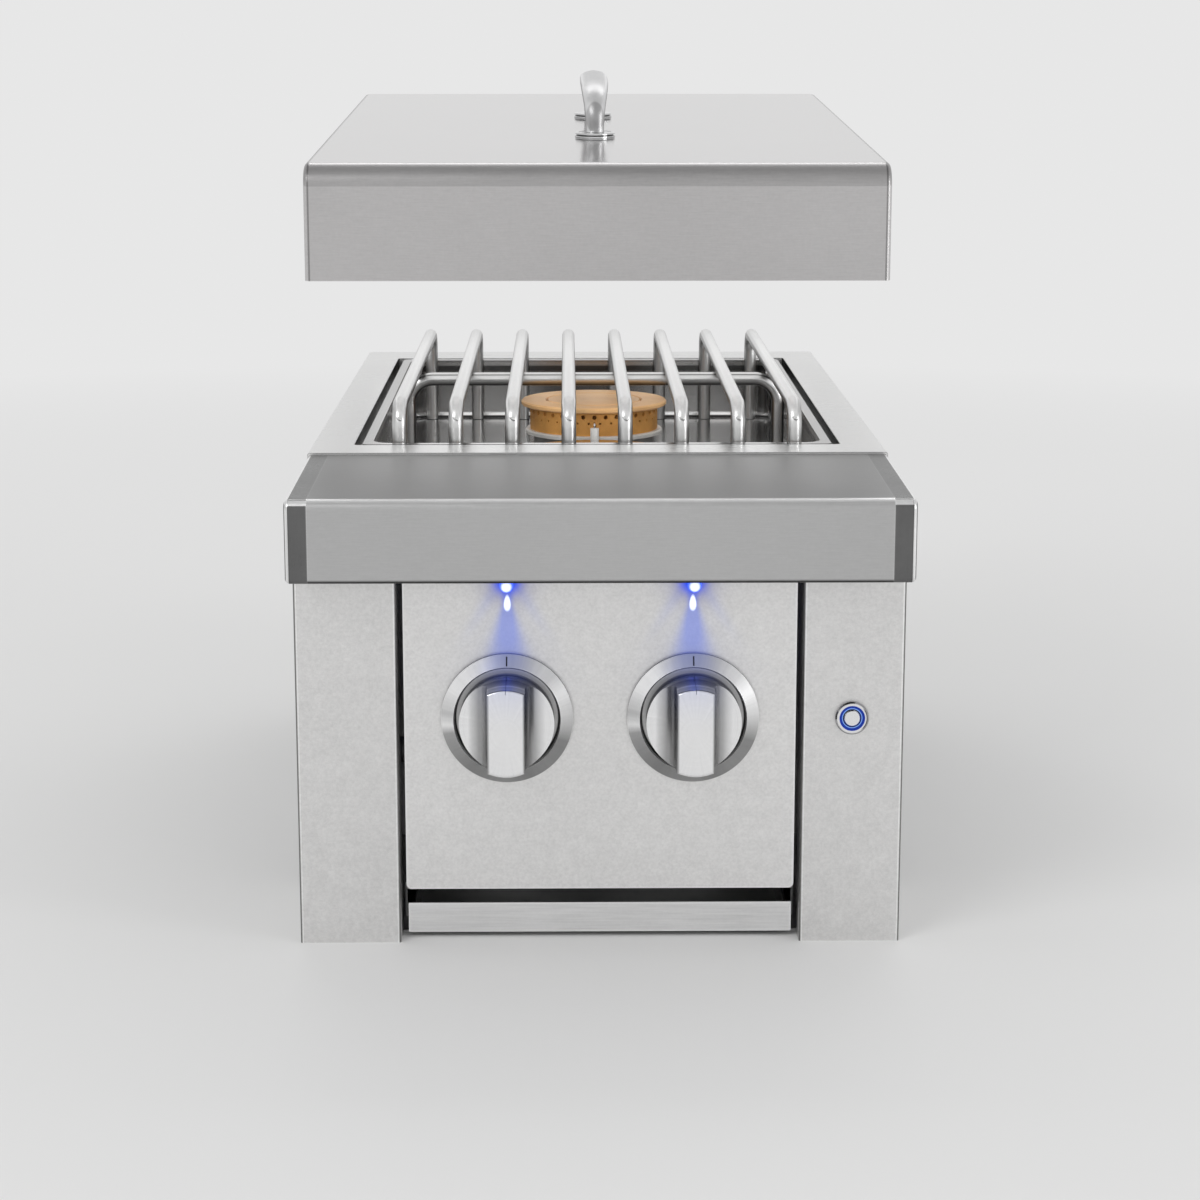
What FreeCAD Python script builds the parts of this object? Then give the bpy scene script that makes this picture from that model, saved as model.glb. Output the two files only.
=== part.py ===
import FreeCAD, Part
import Sketcher
import math
import os
import re

# Built-in side burner: a pressed steel deck frame over a fire box, a folded ledge and
# control front, a dual-ring burner in a drop-in pan, a bar grate, a drip tray on runners
# and a lift-off lid. Millimetres. +Z is up and -Y is the front that the knobs face.
# The origin lies on the resting plane, under the middle of the whole unit.

os.makedirs("parts", exist_ok=True)
doc = FreeCAD.newDocument("side_burner")

DIMENSIONS = [
    ("width", 360, "overall width of frame, ledge and columns"),
    ("frame_depth", 540, "depth of the deck frame"),
    ("ledge_depth", 150, "depth of the ledge in front of the frame"),
    ("deck_height", 281, "top of the deck frame above the resting plane"),
    ("ledge_bottom", 228.4, "underside of the ledge"),
    ("ledge_fall", 2.5, "how far the ledge top falls to its front edge"),
    ("sheet", 1.2, "steel of the ledge, columns, panel and fire box"),
    ("frame_sheet", 1.5, "steel of the deck frame"),
    ("joint_gap", 0.3, "gap beside each moving piece at its seat"),
    ("side_flange", 26.5, "deck width beside the opening"),
    ("front_flange", 33, "deck width in front of the opening"),
    ("back_flange", 45, "deck width behind the opening"),
    ("hem_drop", 10, "turned-down edge of the deck"),
    ("hem_round", 1.4, "rounding over the deck's outer edge"),
    ("frame_corner", 4, "rounding of the deck's rear corners"),
    ("lip_drop", 11, "depth of the opening's lip down to the pan seat"),
    ("lip_corner", 3, "corner radius of the opening"),
    ("seat_width", 8, "width of the seat that carries the pan rim"),
    ("slot_gap", 3.8, "dark slot between the lip and the pan rim"),
    ("rim_width", 7, "width of the pan rim"),
    ("rim_corner", 5, "outer corner radius of the pan rim"),
    ("rim_round", 1.5, "rounding of the pan rim"),
    ("rim_below", 0.4, "pan rim below the deck"),
    ("pan_sheet", 1, "steel of the drop-in pan"),
    ("pan_depth", 46, "pan floor below the deck"),
    ("pan_corner", 12, "upright corner radius inside the pan"),
    ("pan_cove", 5, "cove radius round the pan floor"),
    ("cap_width", 13, "width of the end cap at each end of the ledge"),
    ("cap_wall", 2.2, "wall of a ledge end cap"),
    ("cap_round", 3, "rounding of the end cap edges"),
    ("ledge_lap", 14, "lap of the ledge under the frame"),
    ("ledge_return", 55, "depth of the flange under the ledge"),
    ("ledge_round", 6, "rounded front edge of the ledge"),
    ("ledge_under_round", 3, "rounded lower front edge of the ledge"),
    ("column_setback", 42, "column face behind the ledge front"),
    ("column_width", 60.5, "width of each column"),
    ("column_return", 20, "depth of a column's inner flange"),
    ("column_round", 2, "rounding of the column edges"),
    ("panel_setback", 2.5, "panel face behind the column faces"),
    ("panel_gap", 3.5, "gap between the panel and each column"),
    ("panel_bottom", 33, "lower edge of the control panel"),
    ("panel_return", 15, "depth of the panel's flanges"),
    ("panel_corner", 3, "radius of the panel's lower corners"),
    ("wall_setback", 13, "front flange of the box sides behind the column face"),
    ("rear_setback", 23, "rear wall in front of the deck's back edge"),
    ("shield_gap", 3, "heat shield behind the ledge lap"),
    ("shield_bottom", 30, "lower edge of the heat shield"),
    ("vent_width", 90, "length of a vent slot in the rear wall"),
    ("vent_height", 6, "height of a vent slot"),
    ("vent_pitch", 16, "spacing of the vent slots"),
    ("vent_bottom", 168, "lowest vent slot above the resting plane"),
    ("screw_head_radius", 4, "radius of a screw head"),
    ("screw_head_height", 2.4, "height of a screw head"),
    ("fixing_spacing", 400, "fixing holes along each box side"),
    ("fixing_rise", 120, "fixing holes up each box side"),
    ("fixing_height", 150, "middle of the fixing holes above the resting plane"),
    ("fixing_hole_radius", 3, "fixing hole in a box side"),
    ("knob_spacing", 110, "distance between the knob axes"),
    ("knob_height", 139, "knob axes above the resting plane"),
    ("knob_radius", 28, "radius of a knob"),
    ("knob_front_radius", 26, "radius of a knob at its front"),
    ("knob_length", 36, "knob from its rear face to the front of the grip"),
    ("knob_gap", 5, "knob rear face in front of the panel"),
    ("skirt_length", 11, "length of the knob's round skirt"),
    ("grip_width", 22, "width of the grip bar across a knob"),
    ("grip_scoop", 13, "scooped radius beside the grip bar"),
    ("grip_round", 1.6, "rounding of the grip bar"),
    ("stem_radius", 4, "radius of a valve stem"),
    ("stem_flat", 3, "flat of the stem from its axis"),
    ("stem_seat", 22, "depth of the stem inside the knob"),
    ("stem_engage", 5.5, "depth of the stem inside the valve plug"),
    ("stem_play", 0.06, "radial play of the stem in the valve"),
    ("stem_hole_radius", 7, "stem hole in the panel"),
    ("bezel_radius", 39, "outer radius of a knob bezel"),
    ("bezel_bore", 31, "inner radius of a knob bezel"),
    ("bezel_height", 6.5, "bezel in front of the panel"),
    ("bezel_edge", 3, "height of the bezel's outer edge"),
    ("bezel_bevel", 0.7, "bevel at the bezel's inner edge"),
    ("valve_gap", 15, "valve body behind the panel face"),
    ("valve_length", 42, "length of a valve body"),
    ("valve_width", 26, "width of a valve body"),
    ("valve_height", 24, "height of a valve body"),
    ("valve_face", 6, "thickness of the valve body in front of the plug"),
    ("plug_radius", 7, "radius of the turning valve plug"),
    ("plug_length", 29.4, "length of the turning valve plug"),
    ("plug_play", 0.05, "radial play of the plug in its bore"),
    ("manifold_radius", 10.7, "radius of the gas manifold"),
    ("manifold_drop", 30, "manifold axis below the knob axes"),
    ("manifold_back", 38, "manifold axis behind the panel face"),
    ("manifold_reach", 92, "manifold end from the middle"),
    ("boss_radius", 8, "radius of the boss under each valve"),
    ("bracket_sheet", 2, "steel of the manifold brackets"),
    ("bracket_drop", 20, "height of a bracket's foot on the heat shield"),
    ("bracket_width", 20, "width of a bracket"),
    ("bracket_inset", 4, "bracket inside the manifold's end"),
    ("fitting_nut", 12, "length of the inlet's hexagon"),
    ("supply_radius", 7.9, "radius of the supply pipe"),
    ("supply_bend", 26, "bend radius of the supply pipe"),
    ("supply_inset", 17, "supply pipe's axis inside the box side"),
    ("inlet_radius", 10.4, "radius of the threaded gas inlet"),
    ("inlet_length", 20, "length of the threaded gas inlet behind the rear wall"),
    ("inlet_neck", 10.1, "radius of the inlet's neck inside the rear wall"),
    ("inlet_bore", 6.24, "bore radius of the gas inlet"),
    ("inlet_hex", 13.5, "corner radius of the inlet's hexagon"),
    ("orifice_radius", 5, "radius of a gas orifice"),
    ("orifice_length", 13, "length of a gas orifice"),
    ("tube_radius", 11, "outer radius of a mixing tube"),
    ("tube_wall", 1.2, "wall of a mixing tube"),
    ("tube_start", 11, "mouth of a mixing tube behind the valve"),
    ("tube_turn", 40, "mixing tube turns this far behind the heat shield"),
    ("tube_elbow", 26, "bend radius of a mixing tube"),
    ("shutter_radius", 13.5, "radius of an air shutter"),
    ("shutter_length", 12, "length of an air shutter"),
    ("burner_y", 67.5, "burner axis behind the middle of the unit"),
    ("base_radius", 43, "radius of the burner base casting"),
    ("base_wall", 4, "wall of the burner base casting"),
    ("base_height", 21, "height of the burner base casting"),
    ("core_radius", 17, "inner chamber of the burner base"),
    ("outer_feed", 29, "outer chamber's feed from the burner axis"),
    ("ring_radius", 48.8, "radius of the pale ring under the burner head"),
    ("ring_height", 3, "height of the pale ring"),
    ("ring_bevel", 0.9, "bevel of the pale ring"),
    ("head_radius", 45.5, "radius of the brass burner head"),
    ("head_wall", 4.5, "wall of the burner head"),
    ("head_height", 16.6, "height of the burner head"),
    ("head_floor", 2.4, "floor of the burner head"),
    ("head_core", 30, "radius of the head's inner ring"),
    ("cap_plate", 3.7, "thickness of the burner caps"),
    ("cap_radius", 51.75, "radius of the outer burner cap"),
    ("cap_split", 33.6, "radius where the two burner caps meet"),
    ("cap_groove", 0.8, "groove between the two burner caps"),
    ("cap_bevel", 1, "bevels round the outer burner cap"),
    ("groove_bevel", 0.8, "bevels beside the groove between the caps"),
    ("cap_lip", 1.5, "wall of the inner cap's centring lip"),
    ("cap_lip_drop", 2.5, "depth of the centring lip"),
    ("port_radius", 1.5, "radius of a main flame port"),
    ("port_small", 0.8, "radius of a lower flame port"),
    ("port_count", 36, "flame ports round the head"),
    ("port_drop", 3.4, "main flame ports below the head's top"),
    ("port_row", 4.4, "lower flame ports below the main ones"),
    ("igniter_gap", 2.6, "igniter in front of the burner's pale ring"),
    ("igniter_radius", 3, "radius of the igniter's ceramic"),
    ("collar_radius", 5.4, "radius of the igniter's collar"),
    ("igniter_top", 15, "top of the ceramic below the deck"),
    ("igniter_length", 42, "length of the ceramic"),
    ("electrode_radius", 0.8, "radius of the igniter's wire"),
    ("lead_radius", 2, "radius of the igniter lead"),
    ("lead_drop", 38, "run of the lead straight down from the igniter"),
    ("lead_bend", 14, "bend radius of the igniter lead"),
    ("spark_width", 34, "width of the spark and light module"),
    ("spark_depth", 80, "depth of the spark and light module"),
    ("spark_height", 50, "height of the spark and light module"),
    ("spark_bottom", 60, "module above the resting plane"),
    ("cover_half", 49, "half width of the arched cover in the pan"),
    ("cover_top", 22, "crown of the arched cover below the deck"),
    ("cover_arch", 310, "radius of the cover's arch"),
    ("cover_round", 6, "shoulder radius of the cover"),
    ("cover_gap", 1.5, "gap at each end of the cover"),
    ("bar_radius", 4.7, "radius of the grate's rods"),
    ("bar_count", 8, "bars of the grate"),
    ("bar_pitch", 36, "spacing of the grate's bars"),
    ("bar_rise", 22, "axis of the bars above the deck"),
    ("bar_bend", 13.5, "bend radius of the bars"),
    ("bar_nest", 1.2, "how far the bar legs reach into the pan's cove"),
    ("weld_sink", 0.1, "how deep the bars are welded into the cross rod"),
    ("cross_bend", 17, "bend radius of the cross rod"),
    ("cross_half", 131.5, "half distance between the cross rod's legs"),
    ("tray_side", 43, "drip tray inside each box side"),
    ("tray_length", 480, "length of the drip tray"),
    ("tray_floor", 3.2, "underside of the drip tray above the resting plane"),
    ("tray_top", 20, "flange of the drip tray above the resting plane"),
    ("tray_flange", 6, "width of the tray's side flanges"),
    ("tray_front_gap", 4, "gap between the tray's front strip and each column"),
    ("tray_front_top", 21.6, "top of the tray's front strip"),
    ("strip_corner", 0.8, "radius of the front strip's lower corners"),
    ("tray_setback", 8, "tray strip behind the panel face"),
    ("runner_setback", 34, "tray flanges and runners behind the box's front flanges"),
    ("led_inset", 25, "light lens behind the ledge front"),
    ("led_spacing", 109, "distance between the two lights"),
    ("led_radius", 4, "radius of a light lens"),
    ("led_dome", 10, "lens below the ledge"),
    ("led_flange", 7, "radius of the flange that holds a lens"),
    ("led_flange_height", 1, "flange below the ledge"),
    ("housing_radius", 11.25, "radius of a light's housing"),
    ("housing_height", 18, "height of a light's housing"),
    ("button_inset", 31, "power button from the column's outer side"),
    ("button_radius", 10, "radius of the power button's bezel"),
    ("button_barrel", 8, "radius of the button's threaded barrel"),
    ("button_ring", 7, "outer radius of the lit ring"),
    ("button_cap", 4.9, "radius of the pressed cap"),
    ("button_height", 3, "button in front of the column"),
    ("button_bevel", 1, "outer bevel of the button's bezel"),
    ("button_edge", 0.6, "inner bevel of the button's bezel"),
    ("button_ring_sunk", 0.8, "lit ring below the bezel"),
    ("button_cap_edge", 0.5, "bevel of the pressed cap"),
    ("button_travel_end", 6, "rear of the pressed cap behind the column face"),
    ("nut_radius", 11.2, "radius of the button's nut"),
    ("nut_height", 3.5, "height of the button's nut"),
    ("lid_width", 358.4, "width of the lid"),
    ("lid_depth", 534, "depth of the lid"),
    ("lid_front", 70.5, "height of the lid's front"),
    ("lid_back", 101, "height of the lid's back"),
    ("lid_hover", 106, "lid held above the deck at rest"),
    ("lid_bend", 14, "bend between the lid's top and front"),
    ("lid_corner", 7, "radius of the lid's rear corners"),
    ("lid_edge", 3.5, "rounding of the lid's other edges"),
    ("lid_sheet", 1.2, "steel of the lid"),
    ("handle_feet", 149, "distance between the handle's feet"),
    ("handle_rise", 28.5, "handle axis above its feet"),
    ("handle_forward", 16, "handle in front of the lid's middle"),
    ("handle_crown", 19, "width of the handle at its crown"),
    ("handle_leg", 12, "width of the handle at its feet"),
    ("handle_thick", 10, "thickness of the handle"),
    ("foot_radius", 13.5, "radius of a handle foot"),
    ("foot_height", 3, "height of a handle foot"),
]

sizes = doc.addObject("Spreadsheet::Sheet", "Sizes")
for line, (alias, amount, meaning) in enumerate(DIMENSIONS, start=1):
    sizes.set(f"A{line}", meaning)
    sizes.set(f"B{line}", str(amount))
    sizes.setAlias(f"B{line}", alias)
doc.recompute()

ALIASES = {alias for alias, amount, meaning in DIMENSIONS}
NEAR = 0.01
HANDLE_SAMPLES = 400
HANDLE_RINGS = 23
ARCH_POWER = 0.6

# Places that many pieces share, as formulas over the sheet.
FRONT = "(-(ledge_depth + frame_depth) / 2)"
BACK = "((ledge_depth + frame_depth) / 2)"
FRAME_FRONT = f"({FRONT} + ledge_depth)"
UNDER_FRAME = "(deck_height - frame_sheet)"
LIP_X = "(width / 2 - side_flange)"
LIP_FRONT = f"({FRAME_FRONT} + front_flange)"
LIP_BACK = f"({BACK} - back_flange)"
SEAT_Z = "(deck_height - lip_drop)"
RIM_X = f"({LIP_X} - slot_gap)"
RIM_FRONT = f"({LIP_FRONT} + slot_gap)"
RIM_BACK = f"({LIP_BACK} - slot_gap)"
PAN_X = f"({RIM_X} - rim_width)"
PAN_FRONT = f"({RIM_FRONT} + rim_width)"
PAN_BACK = f"({RIM_BACK} - rim_width)"
PAN_FLOOR = "(deck_height - pan_depth)"
COLUMN_FACE = f"({FRONT} + column_setback)"
PANEL_FACE = f"({COLUMN_FACE} + panel_setback)"
COLUMN_X = "(width / 2 - column_width)"
WALL_X = f"({LIP_X} + frame_sheet)"
WALL_FRONT = f"({COLUMN_FACE} + wall_setback)"
BUTTON_X = "(width / 2 - button_inset)"
BUTTON_DEPTH = "(wall_setback - joint_gap)"
SUPPLY_X = f"({WALL_X} - supply_inset)"
TRAY_HALF = f"({WALL_X} - tray_side)"
REAR = f"({BACK} - rear_setback)"
LAP_BACK = f"({FRAME_FRONT} + ledge_lap)"
SHIELD = f"({LAP_BACK} + shield_gap)"
KNOB_BACK = f"({PANEL_FACE} - knob_gap)"
VALVE_FRONT = f"({PANEL_FACE} + valve_gap)"
VALVE_BACK = f"({VALVE_FRONT} + valve_length)"
PLUG_FRONT = f"({VALVE_FRONT} + valve_face + joint_gap)"
MANIFOLD_Y = f"({PANEL_FACE} + manifold_back)"
MANIFOLD_Z = "(knob_height - manifold_drop)"
VALVE_FOOT = "(knob_height - valve_height / 2)"
BASE_TOP = f"({PAN_FLOOR} + base_height)"
HEAD_FOOT = f"({BASE_TOP} + ring_height)"
HEAD_TOP = f"({HEAD_FOOT} + head_height)"
IGNITER_Y = "(burner_y - ring_radius - igniter_gap - igniter_radius)"
BAR_Z = "(deck_height + bar_rise)"
CROSS_Z = f"({BAR_Z} - 2 * bar_radius + weld_sink)"
BAR_FRONT = f"({PAN_FRONT} + pan_cove - bar_nest + bar_radius)"
BAR_BACK = f"({PAN_BACK} - pan_cove + bar_nest - bar_radius)"
LID_RIM = "(deck_height + lid_hover)"
LID_BACK = f"({FRAME_FRONT} + lid_depth)"

AXIS_TURNS = {
    "x": FreeCAD.Rotation(FreeCAD.Vector(0, 1, 0), 90),
    "y": FreeCAD.Rotation(FreeCAD.Vector(1, 0, 0), -90),
    "z": FreeCAD.Rotation(),
}
PLANES = {"level": "XY_Plane", "upright": "XZ_Plane", "side": "YZ_Plane"}
nodes = []


def linked(formula):
    """The formula with each size's name pointing at its cell."""
    def cell(word):
        return f"Sizes.{word[0]}" if word[0] in ALIASES else word[0]
    return re.sub(r"[a-z_]+", cell, str(formula))


def amount_of(formula):
    """What the formula comes to now."""
    return float(sizes.evalExpression(str(formula)))


def place(piece, x="0", y="0", z="0"):
    """Tie a piece's position to the sheet."""
    for axis, formula in (("x", x), ("y", y), ("z", z)):
        piece.setExpression(f"Placement.Base.{axis}", linked(formula))
    return piece


def keep(piece):
    """Count a finished piece as a sub-part of its own."""
    piece.Label = piece.Name
    nodes.append(piece)
    return piece


def block(name, x, y, z):
    """A box between two formulas along each axis."""
    made = doc.addObject("Part::Box", name)
    for side, (low, high) in (("Length", x), ("Width", y), ("Height", z)):
        made.setExpression(side, linked(f"({high}) - ({low})"))
    place(made, x[0], y[0], z[0])
    made.recompute()
    return made


def rod(name, along, start, length, radius):
    """A round bar from a start point along an axis."""
    made = doc.addObject("Part::Cylinder", name)
    made.Placement = FreeCAD.Placement(FreeCAD.Vector(), AXIS_TURNS[along])
    made.setExpression("Radius", linked(radius))
    made.setExpression("Height", linked(length))
    place(made, *start)
    made.recompute()
    return made


def ball(name, centre, radius):
    """A whole ball."""
    made = doc.addObject("Part::Sphere", name)
    made.setExpression("Radius", linked(radius))
    place(made, *centre)
    made.recompute()
    return made


def fuse(name, *pieces):
    """One solid of several that meet."""
    made = doc.addObject("Part::MultiFuse", name)
    made.Shapes = list(pieces)
    made.Refine = True
    made.recompute()
    return made


def cut(name, base, *tools):
    """The base with the tools taken out."""
    made = doc.addObject("Part::Cut", name)
    made.Base = base
    made.Tool = tools[0] if len(tools) == 1 else fuse(f"{name}_tools", *tools)
    made.Refine = True
    made.recompute()
    return made


def shared(name, first, second):
    """What two solids have in common."""
    made = doc.addObject("Part::Common", name)
    made.Base = first
    made.Tool = second
    made.recompute()
    return made


def group(name, pieces):
    """Separate solids that count as one sub-part."""
    made = doc.addObject("Part::Compound", name)
    made.Links = list(pieces)
    made.recompute()
    return made


def edges_at(piece, **places):
    """Numbers of the edges that lie wholly at the given x, y or z."""
    wanted = [(axis.upper(), amount_of(formula)) for axis, formula in places.items()]
    found = []
    for number, edge in enumerate(piece.Shape.Edges, start=1):
        box = edge.BoundBox
        spans = [(getattr(box, f"{axis}Min"), getattr(box, f"{axis}Max"), where) for axis, where in wanted]
        if all(abs(low - where) < NEAR and abs(high - where) < NEAR for low, high, where in spans):
            found.append(number)
    return found


def rounded(name, base, radius, edges):
    """The base with the numbered edges rounded."""
    made = doc.addObject("Part::Fillet", name)
    made.Base = base
    made.Edges = [(number, amount_of(radius), amount_of(radius)) for number in edges]
    made.recompute()
    return made


def rounded_block(name, x, y, z, corner):
    """A box with its four upright edges rounded."""
    solid = block(f"{name}_block", x, y, z)
    upright = [n for a in x for b in y for n in edges_at(solid, x=a, y=b)]
    return rounded(name, solid, corner, upright)


def mirrored_span(side, inner, outer):
    """A span along x on the left (-1) or the right (1), low end first."""
    if side > 0:
        return (inner, outer)
    return (f"-({outer})", f"-({inner})")


def new_body(name):
    """An empty body whose sketches and features make one piece."""
    return doc.addObject("PartDesign::Body", name)


def sketch_on(body, name, plane, offset="0"):
    """A sketch on one of the body's own planes."""
    made = body.newObject("Sketcher::SketchObject", name)
    role = PLANES[plane]
    made.AttachmentSupport = [(next(f for f in body.Origin.OriginFeatures if f.Role == role), "")]
    made.MapMode = "FlatFace"
    made.setExpression("AttachmentOffset.Base.z", linked(offset))
    return made


def tie(drawn, kind, side, point, formula):
    """Tie one point of a sketch to the sheet, measured from the sketch's origin."""
    number = drawn.addConstraint(Sketcher.Constraint(kind, -1, 1, side, point, amount_of(formula)))
    drawn.setExpression(f"Constraints[{number}]", linked(formula))


def outline(drawn, corners):
    """A closed outline of straight sides through corners given as pairs of formulas."""
    points = [FreeCAD.Vector(amount_of(u), amount_of(v)) for u, v in corners]
    first = drawn.GeometryCount
    for start, end in zip(points, points[1:] + points[:1]):
        drawn.addGeometry(Part.LineSegment(start, end))
    for side in range(len(points)):
        after = (side + 1) % len(points)
        drawn.addConstraint(Sketcher.Constraint("Coincident", first + side, 2, first + after, 1))
    for side, (u, v) in enumerate(corners):
        tie(drawn, "DistanceX", first + side, 1, u)
        tie(drawn, "DistanceY", first + side, 1, v)


def pad(body, drawn, length):
    """Push a sketch out into a solid."""
    made = body.newObject("PartDesign::Pad", f"{body.Name}_pad")
    made.Profile = drawn
    made.setExpression("Length", linked(length))
    doc.recompute()
    return made


def turned(body, drawn):
    """Turn a sketch about its upright axis."""
    made = body.newObject("PartDesign::Revolution", f"{body.Name}_turned")
    made.Profile = drawn
    made.ReferenceAxis = (drawn, ["V_Axis"])
    made.Angle = 360
    doc.recompute()
    return made


def softened(body, base, radius, edges):
    """Round numbered edges of the body's last feature."""
    made = body.newObject("PartDesign::Fillet", f"{base.Name}_soft")
    made.Base = (base, [f"Edge{number}" for number in edges])
    made.setExpression("Radius", linked(radius))
    doc.recompute()
    return made


def turned_piece(name, plane, corners):
    """A turned piece from its half section, as a body."""
    body = new_body(name)
    drawn = sketch_on(body, f"{name}_section", plane)
    outline(drawn, corners)
    turned(body, drawn)
    return body


def bent_path(points, bend):
    """Straight runs through the points, joined by tangent arcs."""
    marks = [FreeCAD.Vector(*(amount_of(part) for part in point)) for point in points]
    parts = []
    start = marks[0]
    for before, corner, after in zip(marks, marks[1:], marks[2:]):
        back = (before - corner).normalize()
        ahead = (after - corner).normalize()
        half = back.getAngle(ahead) / 2
        reach = amount_of(bend) / math.tan(half)
        middle = (back + ahead).normalize()
        centre = corner + middle * (amount_of(bend) / math.sin(half))
        parts.append(Part.LineSegment(start, corner + back * reach))
        arc_end = corner + ahead * reach
        parts.append(Part.Arc(corner + back * reach, centre - middle * amount_of(bend), arc_end))
        start = arc_end
    parts.append(Part.LineSegment(start, marks[-1]))
    return Part.Wire([part.toShape() for part in parts])


def bent_rod(name, points, bend, radius):
    """A round rod swept along a bent path."""
    path = doc.addObject("Part::Feature", f"{name}_path")
    path.Shape = bent_path(points, bend)
    first = path.Shape.OrderedEdges[0]
    way = first.tangentAt(first.FirstParameter)
    section = doc.addObject("Part::Circle", f"{name}_section")
    section.setExpression("Radius", linked(radius))
    across = FreeCAD.Rotation(FreeCAD.Vector(0, 0, 1), way)
    section.Placement = FreeCAD.Placement(path.Shape.OrderedVertexes[0].Point, across)
    section.recompute()
    made = doc.addObject("Part::Sweep", name)
    made.Sections = [section]
    made.Spine = (path, [f"Edge{number + 1}" for number in range(len(path.Shape.Edges))])
    made.Solid = True
    made.Frenet = True
    made.recompute()
    return made


def top_frame():
    """Deck frame: plate, turned-down hem, lip round the opening and the pan's seat."""
    x = ("-width / 2", "width / 2")
    shell = block("frame_outer", x, (FRAME_FRONT, BACK), ("deck_height - hem_drop", "deck_height"))
    corners = [n for a in x for n in edges_at(shell, x=a, y=BACK)]
    shell = rounded("frame_cornered", shell, "frame_corner", corners)
    brim = [n for n in edges_at(shell, z="deck_height") if n not in edges_at(shell, y=FRAME_FRONT)]
    shell = rounded("frame_brimmed", shell, "hem_round", brim)
    hollow_x = ("-width / 2 + frame_sheet", "width / 2 - frame_sheet")
    hollow_y = (f"{FRAME_FRONT} - ledge_lap", f"{BACK} - frame_sheet")
    inner_corner = "frame_corner - frame_sheet"
    hollow = rounded_block("frame_hollow", hollow_x, hollow_y, ("0", UNDER_FRAME), inner_corner)
    lip_x = (f"-{LIP_X} - frame_sheet", f"{LIP_X} + frame_sheet")
    lip_y = (f"{LIP_FRONT} - frame_sheet", f"{LIP_BACK} + frame_sheet")
    lip_z = (f"{SEAT_Z} - frame_sheet", UNDER_FRAME)
    lip = rounded_block("frame_lip", lip_x, lip_y, lip_z, "lip_corner + frame_sheet")
    deck = fuse("frame_deck", cut("frame_shell", shell, hollow), lip)
    opening_y = (LIP_FRONT, LIP_BACK)
    opening = rounded_block(
        "frame_opening", (f"-{LIP_X}", LIP_X), opening_y, (SEAT_Z, "deck_height + hem_drop"), "lip_corner"
    )
    well = rounded_block(
        "frame_well",
        (f"-{LIP_X} + seat_width", f"{LIP_X} - seat_width"),
        (f"{LIP_FRONT} + seat_width", f"{LIP_BACK} - seat_width"),
        ("0", "deck_height"),
        "pan_corner",
    )
    keep(cut("top_frame", deck, opening, well))


def spill_pan():
    """Drawn pan that drops into the frame: hollow rim, straight walls, coved floor."""
    rim_top = "(deck_height - rim_below)"
    bottom = f"({PAN_FLOOR} - pan_sheet)"
    rim_x = (f"-{RIM_X}", RIM_X)
    rim = rounded_block("pan_rim", rim_x, (RIM_FRONT, RIM_BACK), (SEAT_Z, rim_top), "rim_corner")
    edge = edges_at(rim, z=rim_top)
    rim = rounded("pan_rim_soft", rim, "rim_round", edge)
    under = rounded_block(
        "pan_rim_under",
        (f"-{RIM_X} + pan_sheet", f"{RIM_X} - pan_sheet"),
        (f"{RIM_FRONT} + pan_sheet", f"{RIM_BACK} - pan_sheet"),
        (PAN_FLOOR, f"{rim_top} - pan_sheet"),
        "rim_corner - pan_sheet",
    )
    bowl = rounded_block(
        "pan_bowl",
        (f"-{PAN_X} - pan_sheet", f"{PAN_X} + pan_sheet"),
        (f"{PAN_FRONT} - pan_sheet", f"{PAN_BACK} + pan_sheet"),
        (bottom, f"{rim_top} - pan_sheet / 2"),
        "pan_corner + pan_sheet",
    )
    bowl = rounded("pan_bowl_soft", bowl, "pan_cove + pan_sheet", edges_at(bowl, z=bottom))
    inside_x = (f"-{PAN_X}", PAN_X)
    inside_z = (PAN_FLOOR, "deck_height + pan_depth")
    inside = rounded_block("pan_inside", inside_x, (PAN_FRONT, PAN_BACK), inside_z, "pan_corner")
    inside = rounded("pan_inside_soft", inside, "pan_cove", edges_at(inside, z=PAN_FLOOR))
    holes = [
        rod(f"pan_hole_{number}", "z", (x, y, f"{bottom} - pan_sheet"), "pan_sheet * 3", radius)
        for number, (x, y, radius) in enumerate([
            ("-outer_feed", "burner_y", "tube_radius + joint_gap"),
            ("0", "burner_y", "tube_radius + joint_gap"),
            ("0", IGNITER_Y, "igniter_radius + joint_gap"),
        ])
    ]
    solid = fuse("pan_solid", cut("pan_rim_hollow", rim, under), bowl)
    keep(cut("spill_pan", solid, inside, *holes))


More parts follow.
